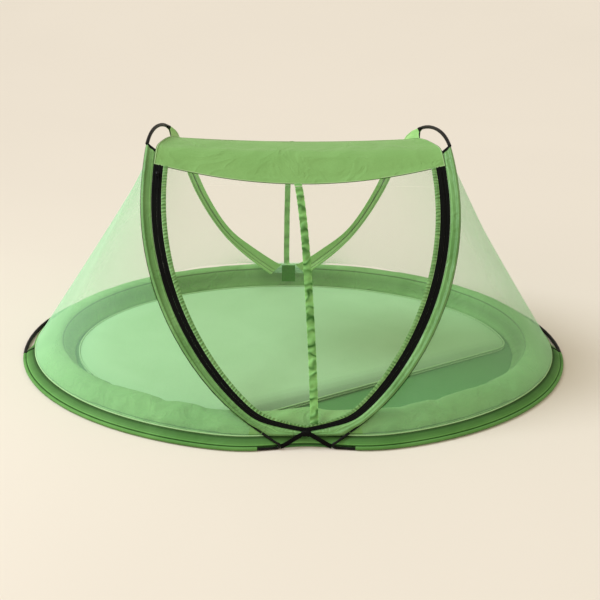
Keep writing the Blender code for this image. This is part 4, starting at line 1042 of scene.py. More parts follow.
def makeHeaderNet():
    edge = hoop["sleeve"] + hoop["tape"] + hoop["coil"] + 2.0 * hoop["gap"]
    points = []
    for along in steps(0.0, 1.0, 9):
        row = []
        for share in steps(-1.0, 1.0, 49):
            upper = canopyFront(share * archPoint(canopy["corner"], edge).x) - header["netTop"]
            a = upper * (1.0 - along) + (hoop["doorTop"] + header["netFoot"]) * along
            spot = archPoint(a, edge)
            sag = canopy["sag"] * (1.0 - share * share) * (1.0 - along)
            row.append(Vector((spot.x * share, spot.y, spot.z)) - faceNormal(a) * sag)
        points.append(row)
    netPanel("headerNet", points, "tent_frame", "header_net", ["canopyCloth"])


def backRail(inwards, top):
    line = [(a, archPoint(a, inwards)) for a in steps(top, hoop["backCorner"], 60)]
    line += [(a, spot) for _, a, spot in backBend(line[-1][1].x, 13)]
    soft = soften([spot for _, spot in line], hoop["cornerSoft"] * hoop["backSoft"])
    return [(a, spot) for (a, _), spot in zip(line, soft)]


# zip and door; turn gives the degrees by which a strip of the U ends higher, for each metre inwards
zipValues = {
    "turn": 0.55 / 0.0145, "topTurn": 0.1, "underlap": 0.0025, "wave": 0.0004,
    "tapeThickness": 0.0011, "tooth": (0.0030, 0.0013, 0.0021), "toothEdge": 0.0004,
    "toothPitch": 0.0036, "outerTooth": 0.0002, "innerTooth": 0.0017, "toothRoom": 0.0019,
    "bindingCrown": 0.0018, "pucker": 0.0016, "puckerPitch": 0.016, "crumple": 0.0009,
    "clothThickness": 0.0007,
}
strip = {
    "width": 0.027, "bow": 0.012, "top": -0.0095, "foot": 0.0265, "crown": 0.0018,
    "gather": 0.0016, "pitch": 0.037, "lift": 0.0014, "length": 1.1, "narrow": 0.10,
    "crumple": 0.0008, "wander": 0.0012,
    "backWidth": 0.022, "backX": -0.008, "backWander": 0.0008, "backEnd": 83.9,
}
patch = {"half": 0.027, "crown": 0.0012, "crumple": 0.0008, "thickness": 0.0024,
         "start": 84.5, "end": 90.0}


def bottomAngle(inwards):  # where a strip of the U crosses the middle
    return hoop["zipBottom"] + (inwards - hoop["sleeve"]) * zipValues["turn"]


def uRows(start, width, top):
    outer = rail(start, bottomAngle(start), top)
    inner = rail(start + width, bottomAngle(start + width), top)
    right = [(a, b, faceNormal(g)) for (g, a), (_, b) in zip(outer, inner)]
    left = [(flip(a), flip(b), out) for a, b, out in right]
    return left + right[-2::-1]


def makeTeeth(name, shift, rows, body, stands):
    # one tooth, modelled once and copied along the tape's edge
    long, wide, high = zipValues["tooth"]
    bpy.ops.object.select_all(action="DESELECT")
    bpy.ops.mesh.primitive_cube_add(size=1.0)
    tooth = bpy.context.object
    tooth.scale = (long, wide, high)
    bpy.ops.object.transform_apply(location=False, rotation=False, scale=True)
    edge = tooth.modifiers.new("edge", "BEVEL")
    edge.width, edge.segments = zipValues["toothEdge"], 1
    applyAll(tooth)
    shape = np.array([v.co for v in tooth.data.vertices])
    faces = [tuple(f.vertices) for f in tooth.data.polygons]
    bpy.data.objects.remove(tooth)
    middle = [((a + b) / 2.0, out, (b - a).normalized()) for a, b, out in rows]
    spots, run, goal = [], 0.0, shift * zipValues["toothPitch"]
    for (a, out, side), (b, _, _) in zip(middle, middle[1:]):
        length = (b - a).length
        while goal < run + length:
            spots.append((a.lerp(b, (goal - run) / length), out, side))
            goal += zipValues["toothPitch"]
        run += length
    verts, polys = [], []
    for place, out, side in spots:
        along = out.cross(side)
        turn = np.array([side, along, out])
        base = len(verts)
        verts += (shape @ turn + np.array(place)).tolist()
        polys += [tuple(base + i for i in face) for face in faces]
    mesh = bpy.data.meshes.new(name)
    mesh.from_pydata(verts, [], polys)
    piece = bpy.data.objects.new(name, mesh)
    bpy.context.scene.collection.objects.link(piece)
    smooth(piece, 30.0)
    dress(piece, "zipMetal", "black_zip", body, stands)


def headPieces(name, start, wide, paint, slot, thickness, rise):
    # short lengths sewn to the header, between the roof and the top of the door
    for side, tag in ((1.0, "right"), (-1.0, "left")):
        rows = []
        for along in steps(0.0, 1.0, 13):
            row = []
            for share in steps(0.0, 1.0, 7):
                inwards = start + wide * share
                upper = canopyFront(archPoint(canopy["corner"], inwards).x) + header["trimTop"]
                a = upper + (hoop["doorTop"] + header["trimFoot"] - upper) * along
                spot = archPoint(a, inwards) + faceNormal(a) * rise(share, along * 0.1)
                row.append(spot if side > 0 else flip(spot))
            rows.append(row)
        piece = layCloth(f"{name}_{tag}", rows)
        finish(piece, thickness, 60.0, paint, slot)
        asSheet(piece, ["headerNet"])


def tapeWave(share, run):
    return zipValues["wave"] * math.sin(math.pi * share * 2.0)


def makeZip():
    outer, under = hoop["sleeve"], zipValues["underlap"]
    inner = outer + hoop["tape"] + hoop["coil"] + 2.0 * hoop["gap"] - under
    outerTop = canopy["corner"] - zipValues["topTurn"]
    for name, start, wide, top, body, node in (
            ("zipTape_outer", outer, hoop["tape"] + under, outerTop, "tent_frame", "zip_tape_outer"),
            ("zipTape_inner", inner, hoop["innerTape"] + under, hoop["doorTop"], "door_panel",
             "zip_tape_inner")):
        piece = layCloth(name, ribbon(uRows(start, wide, top), 9, tapeWave))
        finish(piece, zipValues["tapeThickness"], 60.0, "zipTapeCloth", "black_zip", body, (node,))
        asSheet(piece)
    headPieces("headTape", inner, hoop["innerTape"] + under, "zipTapeCloth", "black_zip",
               zipValues["tapeThickness"], tapeWave)
    coil, wide = outer + hoop["tape"] + hoop["gap"], hoop["coil"] - zipValues["toothRoom"]
    rows = uRows(coil + zipValues["outerTooth"], wide, hoop["zipTop"])
    makeTeeth("zipTeeth_outer", 0.5, rows, "tent_frame", ("zip_coil",))
    rows = uRows(coil + zipValues["innerTooth"], wide, hoop["doorTop"])
    makeTeeth("zipTeeth_inner", 1.0, rows, "door_panel", ())
    print("zip sewn in")


def levelRow(spot, middle, half, angle):  # one row of a strip that lies across the arch's surface
    return (Vector((middle - half, spot.y, spot.z)), Vector((middle + half, spot.y, spot.z)),
            faceNormal(angle))


def makeDoor():
    start = hoop["sleeve"] + hoop["tape"] + hoop["coil"] + hoop["innerTape"] + 3.0 * hoop["gap"]
    thickness = zipValues["clothThickness"]

    def gathers(share, run):
        turns = run / zipValues["puckerPitch"] + 0.8 * wavy(run, 0.03, 2.0)
        wave = math.sin(2.0 * math.pi * turns)
        return (zipValues["bindingCrown"] * math.sin(math.pi * share)
                + zipValues["pucker"] * wave * share * (1.0 - share) * 4.0
                + zipValues["crumple"] * wavy(run, 0.011, 7.0 + share))
    rows = uRows(start, hoop["binding"], hoop["doorTop"])
    fine = []
    for before, after in zip(rows, rows[1:]):
        for share in (0.0, 0.25, 0.5, 0.75):
            fine.append(tuple(a.lerp(b, share) for a, b in zip(before, after)))
    fine.append(rows[-1])
    piece = layCloth("doorBinding", ribbon(fine, 7, gathers))
    finish(piece, thickness, 70.0, "bindingCloth", "sleeve_green", "door_panel", ("door_binding",))
    asSheet(piece, ["zipTape_inner"])

    headPieces("headBinding", start, hoop["binding"], "bindingCloth", "sleeve_green", thickness,
               gathers)

    start += hoop["binding"] + hoop["gap"]
    bottom = bottomAngle(start)
    line = rail(start, bottom, hoop["doorTop"])
    line[-1][1].x = hoop["gap"]
    netPanel("doorNet", [[flip(spot).lerp(spot, share) for share in steps(0.0, 1.0, 33)]
                         for _, spot in line], "door_panel", "door_net")

    rows = []
    for a in steps(hoop["doorTop"] - header["netTop"], bottom + header["netTop"], 260):
        share = (a - hoop["doorTop"]) / (bottom - hoop["doorTop"])
        bow = strip["bow"] * math.sin(math.pi * share) ** 0.7
        middle = strip["top"] * (1.0 - share) + strip["foot"] * share
        middle += strip["wander"] * wavy(share * 3.0, 1.0, 3.0) + bow
        run = share * strip["length"]
        turns = run / strip["pitch"] + wavy(run, 0.12, 8.0)
        narrow = 1.0 - strip["narrow"] * max(0.0, math.sin(2.0 * math.pi * turns)) ** 3
        spot = archPoint(a) + faceNormal(a) * strip["lift"]
        rows.append(levelRow(spot, middle, strip["width"] / 2.0 * narrow, a))

    def folds(share, run):
        turns = run / strip["pitch"] + 0.35 * wavy(run, 0.05, 1.0) + 0.2 * share
        wave, arc = math.sin(2.0 * math.pi * turns), math.sin(math.pi * share)
        return (strip["crown"] * arc + strip["gather"] * max(wave, -0.6) * arc
                + strip["crumple"] * wavy(run, 0.012, 4.0 + share * 2.0))
    head = []
    for a in steps(canopyFront(strip["top"]) + header["trimTop"],
                   hoop["doorTop"] - header["trimTop"], 12):
        drop = canopy["sag"] * (a - hoop["doorTop"]) / (canopy["corner"] - canopy["drop"]
                                                        - hoop["doorTop"])
        spot = archPoint(a) + faceNormal(a) * (strip["lift"] - drop)
        head.append(levelRow(spot, strip["top"], strip["width"] / 2.0, a))
    for name, lines, body, stands in (("doorStrip", rows, "door_panel", ("door_strip",)),
                                      ("headStrip", head, "tent_frame", ())):
        piece = layCloth(name, ribbon(lines, 9, folds))
        finish(piece, thickness, 70.0, "stripCloth", "sleeve_green", body, stands)
        asSheet(piece, ["doorNet" if body == "door_panel" else "headerNet"])
    print("door hung")


def backDrop(angle, share):
    sag = max(45.0 - angle, 0.0) / (45.0 - canopy["back"])
    return roofDrop(angle) + canopy["sag"] * (1.0 - share * share) * sag


def makeBack():
    points = []
    for a, spot in backRail(hoop["sleeve"] + hoop["gap"], canopy["back"] + header["netTop"]):
        points.append([Vector((spot.x * share, spot.y, spot.z)) - faceNormal(a) * backDrop(a, share)
                       for share in steps(-1.0, 1.0, 25)])
    netPanel("backNet", points, "tent_frame", "back_net")

    rows = []
    for a in steps(canopy["back"] + header["netTop"], strip["backEnd"], 160):
        spot = archPoint(a) + faceNormal(a) * (strip["lift"] - backDrop(a, 0.0))
        middle = strip["backX"] + strip["backWander"] * wavy(a, 9.0, 5.0)
        rows.append(levelRow(spot, middle, strip["backWidth"] / 2.0, a))

    def folds(share, run):
        return strip["crown"] * math.sin(math.pi * share) * (1.0 + 0.8 * wavy(run, 0.03, 6.0))
    piece = layCloth("backStrip", ribbon(rows, 7, folds))
    finish(piece, zipValues["clothThickness"], 70.0, "backStripCloth", "sleeve_green", "tent_frame",
           ("back_strip",))
    asSheet(piece, ["backNet"])

    rows = [levelRow(archPoint(a), 0.0, patch["half"], a)
            for a in steps(patch["start"], patch["end"], 25)]

    def crumples(share, run):
        return (patch["crown"] * math.sin(math.pi * share)
                + patch["crumple"] * wavy(run, 0.012, share * 3.0))
    piece = layCloth("backPatch", ribbon(rows, 13, crumples))
    finish(piece, patch["thickness"], 60.0, "patchCloth", "patch_green", "tent_frame",
           ("back_patch",))
    asSheet(piece, ["backSleeve_left", "backSleeve_right"])
    print("back sewn")


# side nets, in gores from the arch to the base; wall is here because the nets clear its top
net = {
    "turn": 3.75, "count": 21, "endAngle": 84.0, "lastRim": 88.2, "closeRim": 89.8,
    "lastMiddle": 0.0286, "backInset": 0.112, "riseAngle": 52.0, "riseTurn": 26.0,
    "wallGap": 0.008, "lowest": 0.0358, "wire": 0.0055, "down": 12,
    "handleFront": 12.0, "handleBack": 20.0, "handleGap": 0.001,
    "foldX": 0.30, "foldRoom": 0.012, "goreColumns": 6,
}
wall = {
    "inset": 0.0457, "height": 0.0325, "piping": 0.0025, "outer": 0.0495, "width": 0.142,
    "foot": 0.0044, "tall": 0.076,
    "across": (0.0, -0.012, 0.10, 0.27, 0.45, 0.60, 0.69, 0.80, 0.93, 1.0),
    "up": (0.0, 0.30, 0.62, 0.84, 0.965, 1.0, 0.95, 0.60, 0.22, 0.0),
    "around": 336, "section": 38, "growth": 0.05, "travel": 0.006, "pressure": 3.0,
    "calmFrom": -0.15, "calmTurn": 0.35, "calmShare": 0.85,
}


def netTops():  # point on the arch, run of the arch, angle on the base and on the arch
    tops = []
    for i in range(-2 * net["count"], 2 * net["count"] + 1):
        place = net["endAngle"] * i / (2.0 * net["count"])
        tops.append((archPoint(place), archRun(place), i * net["turn"] / 2.0, place))
    first = net["count"] * net["turn"]
    for share in steps(0.0, 1.0, 5)[1:]:
        place = net["endAngle"] + (hoop["lastAngle"] - net["endAngle"]) * share
        tops.append((archPoint(place), archRun(place), first + (net["lastRim"] - first) * share, place))
    foot = tops[-1][0]
    for share in steps(0.0, 1.0, 4)[1:]:
        x = foot.x + (net["lastMiddle"] - foot.x) * share
        angle = net["lastRim"] + (net["closeRim"] - net["lastRim"]) * share
        tops.append((Vector((x, foot.y, foot.z)), Vector((-1.0, 0.0, 0.0)), angle, place))
    return tops


def netColumns():
    columns = []
    for upper, run, angle, place in netTops():
        back = ease((angle - net["riseAngle"]) / net["riseTurn"])
        inset = wall["inset"] + (net["backInset"] - wall["inset"]) * back
        across = (inset - wall["outer"]) / wall["width"]
        cover = wall["tall"] * float(np.interp(across, (-0.05,) + wall["across"][1:], wall["up"]))
        height = max(net["lowest"], wall["foot"] + cover + net["wallGap"])
        lower = rimPoint(angle, inset, height)
        way = (lower - upper).normalized()
        tilt = math.sqrt(max(1.0 - way.dot(run) ** 2, 0.05))
        upper = upper + way * net["wire"] / tilt
        # beside the handle the net leaves the wire for the edge of the roof
        before, behind, gap = net["handleFront"], net["handleBack"], net["handleGap"]
        handle = (ease((place - roof["gripFront"] + before) / before)
                  * ease((roof["corner"] + behind - place) / behind))
        if handle > 0.0:
            seam = seamPoint(place, hoop["sleeve"] + gap) - faceNormal(place) * gap
            upper = upper.lerp(seam, handle)
        columns.append([upper.lerp(lower, s) for s in steps(0.0, 1.0, net["down"] + 1)])
    return columns


def makeSideNets():
    for side, tag in ((1.0, "right"), (-1.0, "left")):
        columns = netColumns()
        if side < 0:
            columns = flipRows(columns)
        grid = np.array([[tuple(s) for s in line] for line in columns])
        normals = np.cross(np.gradient(grid, axis=1), np.gradient(grid, axis=0))
        normals *= side / np.linalg.norm(normals, axis=2)[:, :, None]
        feet = np.abs(grid[:, -1, 0])
        moving = [i for i in range(len(columns)) if feet[i] > net["foldX"] + net["foldRoom"]]
        first, last, wide = moving[0] - 1, moving[-1] + 1, net["goreColumns"]
        marks = [0, first] + list(range(first + wide, last - wide + 1, wide))
        marks += [last, len(columns) - 1]
        for count, (a, b) in enumerate(zip(marks, marks[1:])):
            name = f"sideNet_{tag}_{count + 1:02d}"
            piece = layCloth(name, columns[a:b + 1])
            if side < 0:
                edit(piece)
                bpy.ops.mesh.flip_normals()
                bpy.ops.object.mode_set(mode="OBJECT")
            piece.data.normals_split_custom_set_from_vertices(
                [tuple(n) for n in normals[a:b + 1].reshape(-1, 3)])
            piece.data.shade_smooth()
            if a < first or b > last:
                dress(piece, "netCloth", "net")
            else:  # tied to no body; its foot lies on the base, its top on the arch
                dress(piece, "netCloth", "net", None)
                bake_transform(piece)
            asSheet(piece, ["arch_wire_" + tag])
        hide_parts("side_net_" + tag)
    print("side nets stretched")


# base; its soft pieces are cut at the middle; fold and tubeFold give places of fold for them and for
# the stiffer tubes, and nothing here bends them
base = {
    "fold": (0.24, 0.36), "tubeFold": (0.285, 0.315), "around": 480,
    "flangeOuter": (0.01160, 0.01190), "flangeInner": (0.04323, 0.03003), "flangeBulge": 0.0035,
    "flangeRipple": 0.0012, "flangeThickness": 0.0010, "chordInset": 0.0365,
    "grip": (-3.0, 19.0), "chordTurn": 3.0, "tapeGap": 0.1, "tapeTurn": 0.5, "tapeLift": 0.0016,
    "tapeThickness": 0.0014,
    "floorInset": 0.01276, "floorThickness": 0.0036, "floorLow": 0.0002, "floorWave": 0.0005,
    "tube": 0.0065, "tubeWave": 0.0004, "tubeGap": 0.15, "tubePinch": 0.82, "tubeStep": 0.75,
    "footCosine": 0.1612,
}
mat = {
    "inset": 0.205, "thickness": 0.024, "edge": 0.0055, "corner": 0.018, "steps": 60,
    "chord": ((-0.151, -0.51984), (0.805, -0.043016)), "base": 0.0044, "crown": 0.0045,
    "rimTurn": 0.09, "grain": 0.0006, "piping": 0.003, "pipingSunk": 0.0006, "dent": 0.0022,
    "rollWidth": 0.042, "rollDepth": 0.0095, "rings": 40, "around": 240,
}


def chordWindow(angle):  # 1 beside the handle, where the rim is cut straight, and 0 elsewhere
    side = 180.0 - angle if 90.0 < angle < 270.0 else (angle + 180.0) % 360.0 - 180.0
    low, high = base["grip"]
    return ease(((high - low) / 2.0 - abs(side - (low + high) / 2.0)) / base["chordTurn"])


# a section drawn round the base; place(angle, share) gives a point
def ringPiece(name, around, columns, place, closed=True):
    points = [[place(angle, share) for share in steps(0.0, 1.0, columns)]
              for angle in steps(0.0, 360.0, around + 1)]
    if closed:
        for row in points:
            row[-1] = row[0]
    points[-1] = points[0]
    piece = layCloth(name, points)
    sew(piece)
    return piece


def endHalves(piece, paint, slot, node, sheet=None):  # the left half replaces node
    whole = piece.name
    wide, long, area = cut[whole]
    for half, side, stands in zip(halves(piece), (-1.0, 1.0), ((node,), ())):
        dress(half, paint, slot, None, stands)
        foldOver(half, side, *base["fold"])
        cut[half.name] = (wide, long / 2.0, area / 2.0)
        if sheet:
            asSheet(half, ["floorCloth_left"] if "floor" not in whole else [])


def sideAngle(angle, side):  # the same place on the right or the left half of the base
    return angle if side > 0 else 180.0 - angle


def makeFlange():
    def place(angle, share):
        window = chordWindow(angle)
        outer, low = base["flangeOuter"]
        inner, high = base["flangeInner"]
        first = outer + (base["chordInset"] - outer) * window
        inset = first + (inner - first) * share
        rise = (inset - outer) / (inner - outer)
        height = low + (high - low) * rise
        fade = math.sin(math.pi * share) * (1.0 - 0.8 * window)
        spot = rimPoint(angle, inset, height)
        ripple = noise.noise(Vector((spot.x * 14.0, spot.y * 14.0, share * 1.3)))
        lift = (base["flangeBulge"] + base["flangeRipple"] * ripple) * fade
        return spot + (rimOut(angle) + upwards) * lift * 0.707

    # webbing over the rim at both ends of each handle
    low, high = base["grip"]
    gap, wide, above = base["tapeGap"], base["tapeTurn"], upwards * base["tapeLift"]
    for side, tag in ((1.0, "right"), (-1.0, "left")):
        for end, angle, step in (("front", low - gap, -wide), ("back", high + gap, wide)):
            start = sideAngle(angle, side)
            rows = [[place(start + step * side * t, share) + above for t in steps(0.0, 1.0, 4)]
                    for share in steps(0.0, 1.0, 7)]
            strap = layCloth(f"rimTape_{end}_{tag}", rows)
            finish(strap, base["tapeThickness"], 60.0, "webbingCloth", "black_zip",
                   "base_half_" + tag)
    piece = ringPiece("rimFlange", base["around"], 9, place, closed=False)
    thicken(piece, base["flangeThickness"])
    smooth(piece, 60.0)
    endHalves(piece, "flangeCloth", "sleeve_green", "rim_flange", sheet="stretched")

    def piping(angle, share):
        turn = 2.0 * math.pi * share
        spot = rimPoint(angle, wall["inset"], wall["height"])
        radius = wall["piping"]
        height = Vector((0.0, 0.0, radius * math.sin(turn)))
        return spot + rimOut(angle) * radius * math.cos(turn) + height
    piece = ringPiece("rimPiping", base["around"], 11, piping)
    smooth(piece, 80.0)
    endHalves(piece, "pipingCloth", "piping_green", "rim_piping")
    print("rim sewn")


def tubeLine(name, start, end):  # green tube round the base wire, from one angle to another
    rows = []
    count = max(8, round(abs(end - start) / base["tubeStep"]))
    for i, angle in enumerate(steps(start, end, count)):
        spot = rimPoint(angle, base["tube"], hoop["rimHeight"])
        out = rimOut(angle)
        radius = hoop["tubeRadius"] * (base["tubePinch"] if i == 0 else 1.0)
        row = []
        for share in steps(0.0, 1.0, 15):
            c, s = math.cos(2.0 * math.pi * share), math.sin(2.0 * math.pi * share)
            wave = base["tubeWave"] * noise.noise(Vector((angle * 1.3, c, s)))
            row.append(spot + (out * c + upwards * s) * (radius - base["tubeWave"] + wave))
        row[-1] = row[0]
        rows.append(row)
    piece = layCloth(name, rows)
    sew(piece)
    edit(piece)
    bpy.ops.mesh.fill_holes(sides=0)
    bpy.ops.mesh.normals_make_consistent(inside=False)
    bpy.ops.object.mode_set(mode="OBJECT")
    smooth(piece, 60.0)
    return piece


def makeTubes():
    low, high = base["grip"]
    foot = math.degrees(math.acos(base["footCosine"]))
    for side, tag in ((1.0, "right"), (-1.0, "left")):
        back = (f"base_tube_back_{tag}",) + (("back_rim_tube",) if side > 0 else ())
        for end, start, stop, nodes in (
                ("front", low - base["tubeGap"], -foot,
                 (f"base_tube_front_{tag}", f"front_rim_tube_{tag}")),
                ("back", high + base["tubeGap"], 90.0, back)):
            piece = tubeLine(f"rimTube_{end}_{tag}", sideAngle(start, side), sideAngle(stop, side))
            dress(piece, "tubeCloth", "sleeve_green", None, nodes)
            foldOver(piece, side, *base["tubeFold"])
    print("rim tubes drawn")


def makeWall():
    # up the outer side, over the top, down the inner side and back below
    path = [(a * wall["width"], u * wall["tall"]) for a, u in zip(wall["across"], wall["up"])]
    lengths = np.concatenate([[0.0], np.cumsum([math.hypot(b[0] - a[0], b[1] - a[1])
                                                for a, b in zip(path, path[1:])])])
    top = lengths[-1]
    whole = top + wall["width"]

    def section(share):
        run = share * whole
        if run <= top:
            return (float(np.interp(run, lengths, [p[0] for p in path])),
                    float(np.interp(run, lengths, [p[1] for p in path])))
        return wall["width"] * (1.0 - (run - top) / wall["width"]), 0.0

    def place(angle, share):
        across, up = section(share)
        return rimPoint(angle, wall["outer"] + across, wall["foot"] + up)
    piece = ringPiece("padWall", wall["around"], wall["section"] + 1, place)

    def held(spot):
        if spot.z < wall["foot"] + 0.002:
            return 1.0
        return 0.5 * (1.0 - ease((spot.z - 0.006) / 0.02))

    def calm(spot):  # the back of the wall hangs from the arches and stays smooth
        return 1.0 - wall["calmShare"] * ease((spot.y - wall["calmFrom"]) / wall["calmTurn"])
    settle(piece, held, wall["pressure"], wall["growth"], wall["travel"], frames=16, calm=calm)
    soft = piece.modifiers.new("soft", "SUBSURF")
    soft.levels = soft.render_levels = 1
    applyAll(piece)
    for corner in piece.data.vertices:
        corner.co.z = max(corner.co.z, wall["foot"] - 0.0002)
    smooth(piece, 80.0)
    endHalves(piece, "wallCloth", "bumper_green", "bumper_wall")
    print("padded wall filled")


# closed round form, drawn from the middle of its top, over the edge, to the middle below
def disc(name, outline, rings, place):
    points = [[place(spot, share) for share in steps(0.0, 1.0, rings + 1)]
              for spot in outline + [outline[0]]]
    middle, under = points[0][0], points[0][-1]
    for row in points:
        row[0], row[-1] = middle, under
    piece = layCloth(name, points)
    corners = np.zeros(len(piece.data.vertices) * 3)
    piece.data.vertices.foreach_get("co", corners)
    corners = corners.reshape(-1, 3)
    index = np.zeros(len(piece.data.loops), int)
    piece.data.loops.foreach_get("vertex_index", index)
    piece.data.uv_layers.active.data.foreach_set("uv", corners[index, :2].ravel())
    sew(piece)
    return piece


def makeGround():
    outline = []
    for angle in steps(0.0, 360.0, 241)[:-1]:
        inset = base["floorInset"] + (base["chordInset"] - base["floorInset"]) * chordWindow(angle)
        outline.append(rimPoint(angle, inset, 0.0))

    def place(spot, share):  # its top up to 0.6, its edge up to 0.66, and then its underside
        if share <= 0.6:
            r, z = share / 0.6, base["floorThickness"]
        elif share < 0.66:
            return Vector((spot.x, spot.y, base["floorLow"]))
        else:
            r, z = (1.0 - share) / 0.34, base["floorLow"]
        flat = Vector((spot.x * r, spot.y * r, 0.0))
        if share <= 0.6:
            z += base["floorWave"] * noise.noise(flat * 5.0) * (1.0 - r ** 8)
        return Vector((flat.x, flat.y, z))
    piece = disc("floorCloth", outline, 40, place)
    smooth(piece, 50.0)
    wide, deep = 2.0 * hoop["halfWidth"], 2.0 * hoop["halfDepth"]
    cut["floorCloth"] = (deep, wide, math.pi * hoop["halfWidth"] * hoop["halfDepth"] * 0.97)
    endHalves(piece, "floorCloth", "floor_green", "floor", sheet="laid")


def matOutline(grow=0.0):  # the base's line, inset and cut straight, with rounded corners
    first, last = (Vector(spot) for spot in mat["chord"])
    along = (last - first).normalized()
    inwards = Vector((-along.y, along.x))
    outline = []
    for angle in steps(0.0, 360.0, mat["steps"] + 1)[:-1]:
        spot = rimPoint(angle, mat["inset"], 0.0)
        outline.append((spot.xy, (spot.xy - first).dot(inwards)))
    kept = [i for i, (_, depth) in enumerate(outline) if depth > 0.0]
    start = next(i for i in kept if (i - 1) % mat["steps"] not in kept)
    arc = [outline[(start + i) % mat["steps"]][0] for i in range(len(kept))]
    first, last = arc[0], arc[-1]
    radius = mat["corner"]
    points = [p for p in arc if (p - first).length > radius and (p - last).length > radius]
    for corner, before, after in ((last, points[-1], last + (first - last).normalized() * radius),
                                  (first, first + (last - first).normalized() * radius, points[0])):
        for share in steps(0.0, 1.0, 7):
            if (share == 0.0 and corner == last) or (share == 1.0 and corner == first):
                continue
            points.append(before.lerp(corner, share).lerp(corner.lerp(after, share), share))
    lengths = np.concatenate([[0.0], np.cumsum([(points[(i + 1) % len(points)] - p).length
                                                for i, p in enumerate(points)])])
    xs, ys = ([p[k] for p in points] + [points[0][k]] for k in (0, 1))
    runs = np.linspace(0.0, lengths[-1], mat["around"] + 1)[:-1]
    even = [Vector((float(np.interp(run, lengths, xs)), float(np.interp(run, lengths, ys)), 0.0))
            for run in runs]
    for _ in range(3):
        even = [(even[i - 1] + p * 2.0 + even[(i + 1) % len(even)]) / 4.0
                for i, p in enumerate(even)]
    moved = []
    for i, p in enumerate(even):
        run = (even[(i + 1) % len(even)] - even[i - 1]).normalized()
        moved.append(p + Vector((run.y, -run.x, 0.0)) * grow)
    return moved


def roundRow(spot, out, above, radius):  # points round a cord at one place of it
    row = [spot + (out * math.cos(turn) + above * math.sin(turn)) * radius
           for turn in steps(0.0, 2.0 * math.pi, 11)]
    row[-1] = row[0]
    return row


def makeMat():
    outline = matOutline()
    centre = sum(outline, Vector((0.0, 0.0, 0.0))) / len(outline)
    low, high, edge = mat["base"], mat["base"] + mat["thickness"], mat["edge"]

    def place(spot, share):  # its top up to 0.7, its edge up to 0.88, and then its underside
        reach = spot - centre
        far = reach.length
        if share <= 0.7:
            flat = centre + reach * (share / 0.7 * (far - edge) / far)
            inside = far - (flat - centre).length - edge
            rim = 1.0 - ease(inside / mat["rimTurn"])
            z = high - mat["crown"] * 0.35 * rim + mat["crown"] * (1.0 - rim)
            z += mat["dent"] * noise.noise(flat * 3.1 + Vector((3.0, 1.0, 0.0))) * (1.0 - rim)
            z += mat["grain"] * noise.noise(flat * 17.0) * (1.0 - 0.5 * rim)
            z -= mat["rollDepth"] * max(0.0, 1.0 - inside / mat["rollWidth"]) ** 2.2
            return Vector((flat.x, flat.y, z))
        if share <= 0.88:
            turn = (share - 0.7) / 0.18 * math.pi
            top = high - mat["crown"] * 0.35 - mat["rollDepth"]
            middle, half = (low + top) / 2.0, (top - low) / 2.0
            out = edge * math.sin(turn) ** 0.5 if 0.0 < turn < math.pi else 0.0
            flat = centre + reach * ((far - edge + out * 0.75) / far)
            return Vector((flat.x, flat.y, middle + half * math.cos(turn)))
        r = (1.0 - share) / 0.12
        flat = centre + reach * (r * (far - edge) / far)
        return Vector((flat.x, flat.y, low))
    piece = disc("matPad", outline, mat["rings"], place)
    smooth(piece, 70.0)
    endHalves(piece, "matCloth", "mat_green", "mat")
    line = matOutline(mat["piping"] - mat["pipingSunk"])
    for end, height in (("top", high - mat["rollDepth"] - mat["piping"] * 0.9),
                        ("foot", low + mat["piping"])):
        rows = []
        for i, spot in enumerate(line):
            run = (line[(i + 1) % len(line)] - line[i - 1]).normalized()
            out = Vector((run.y, -run.x, 0.0))
            rows.append(roundRow(spot + upwards * height, out, upwards, mat["piping"]))
        piping = layCloth("matPiping_" + end, rows + rows[:1])
        sew(piping)
        smooth(piping, 80.0)
        endHalves(piping, "pipingCloth", "piping_green", "mat_piping_" + end)
    print("mat laid")


# straps, knot and pull
small = {
    "strapWidth": 0.019, "strapThickness": 0.0018, "strapRise": 0.035, "taper": 0.12,
    "strapCrown": 0.0008, "strapCrumple": 0.0006,
    "knotForward": 0.014, "knotRadius": 0.0075, "knotTurn": 0.0078, "knotCord": 0.0042,
    "knotLift": 0.011, "knotWide": 1.5, "knotTall": 1.5, "knotDeep": 0.75, "knotTwist": 0.0028,
    "knotCross": 80.0,
    "pullLength": 0.062, "pullEye": 0.0045, "pullHalf": 0.0055, "pullRadius": 0.0012,
}


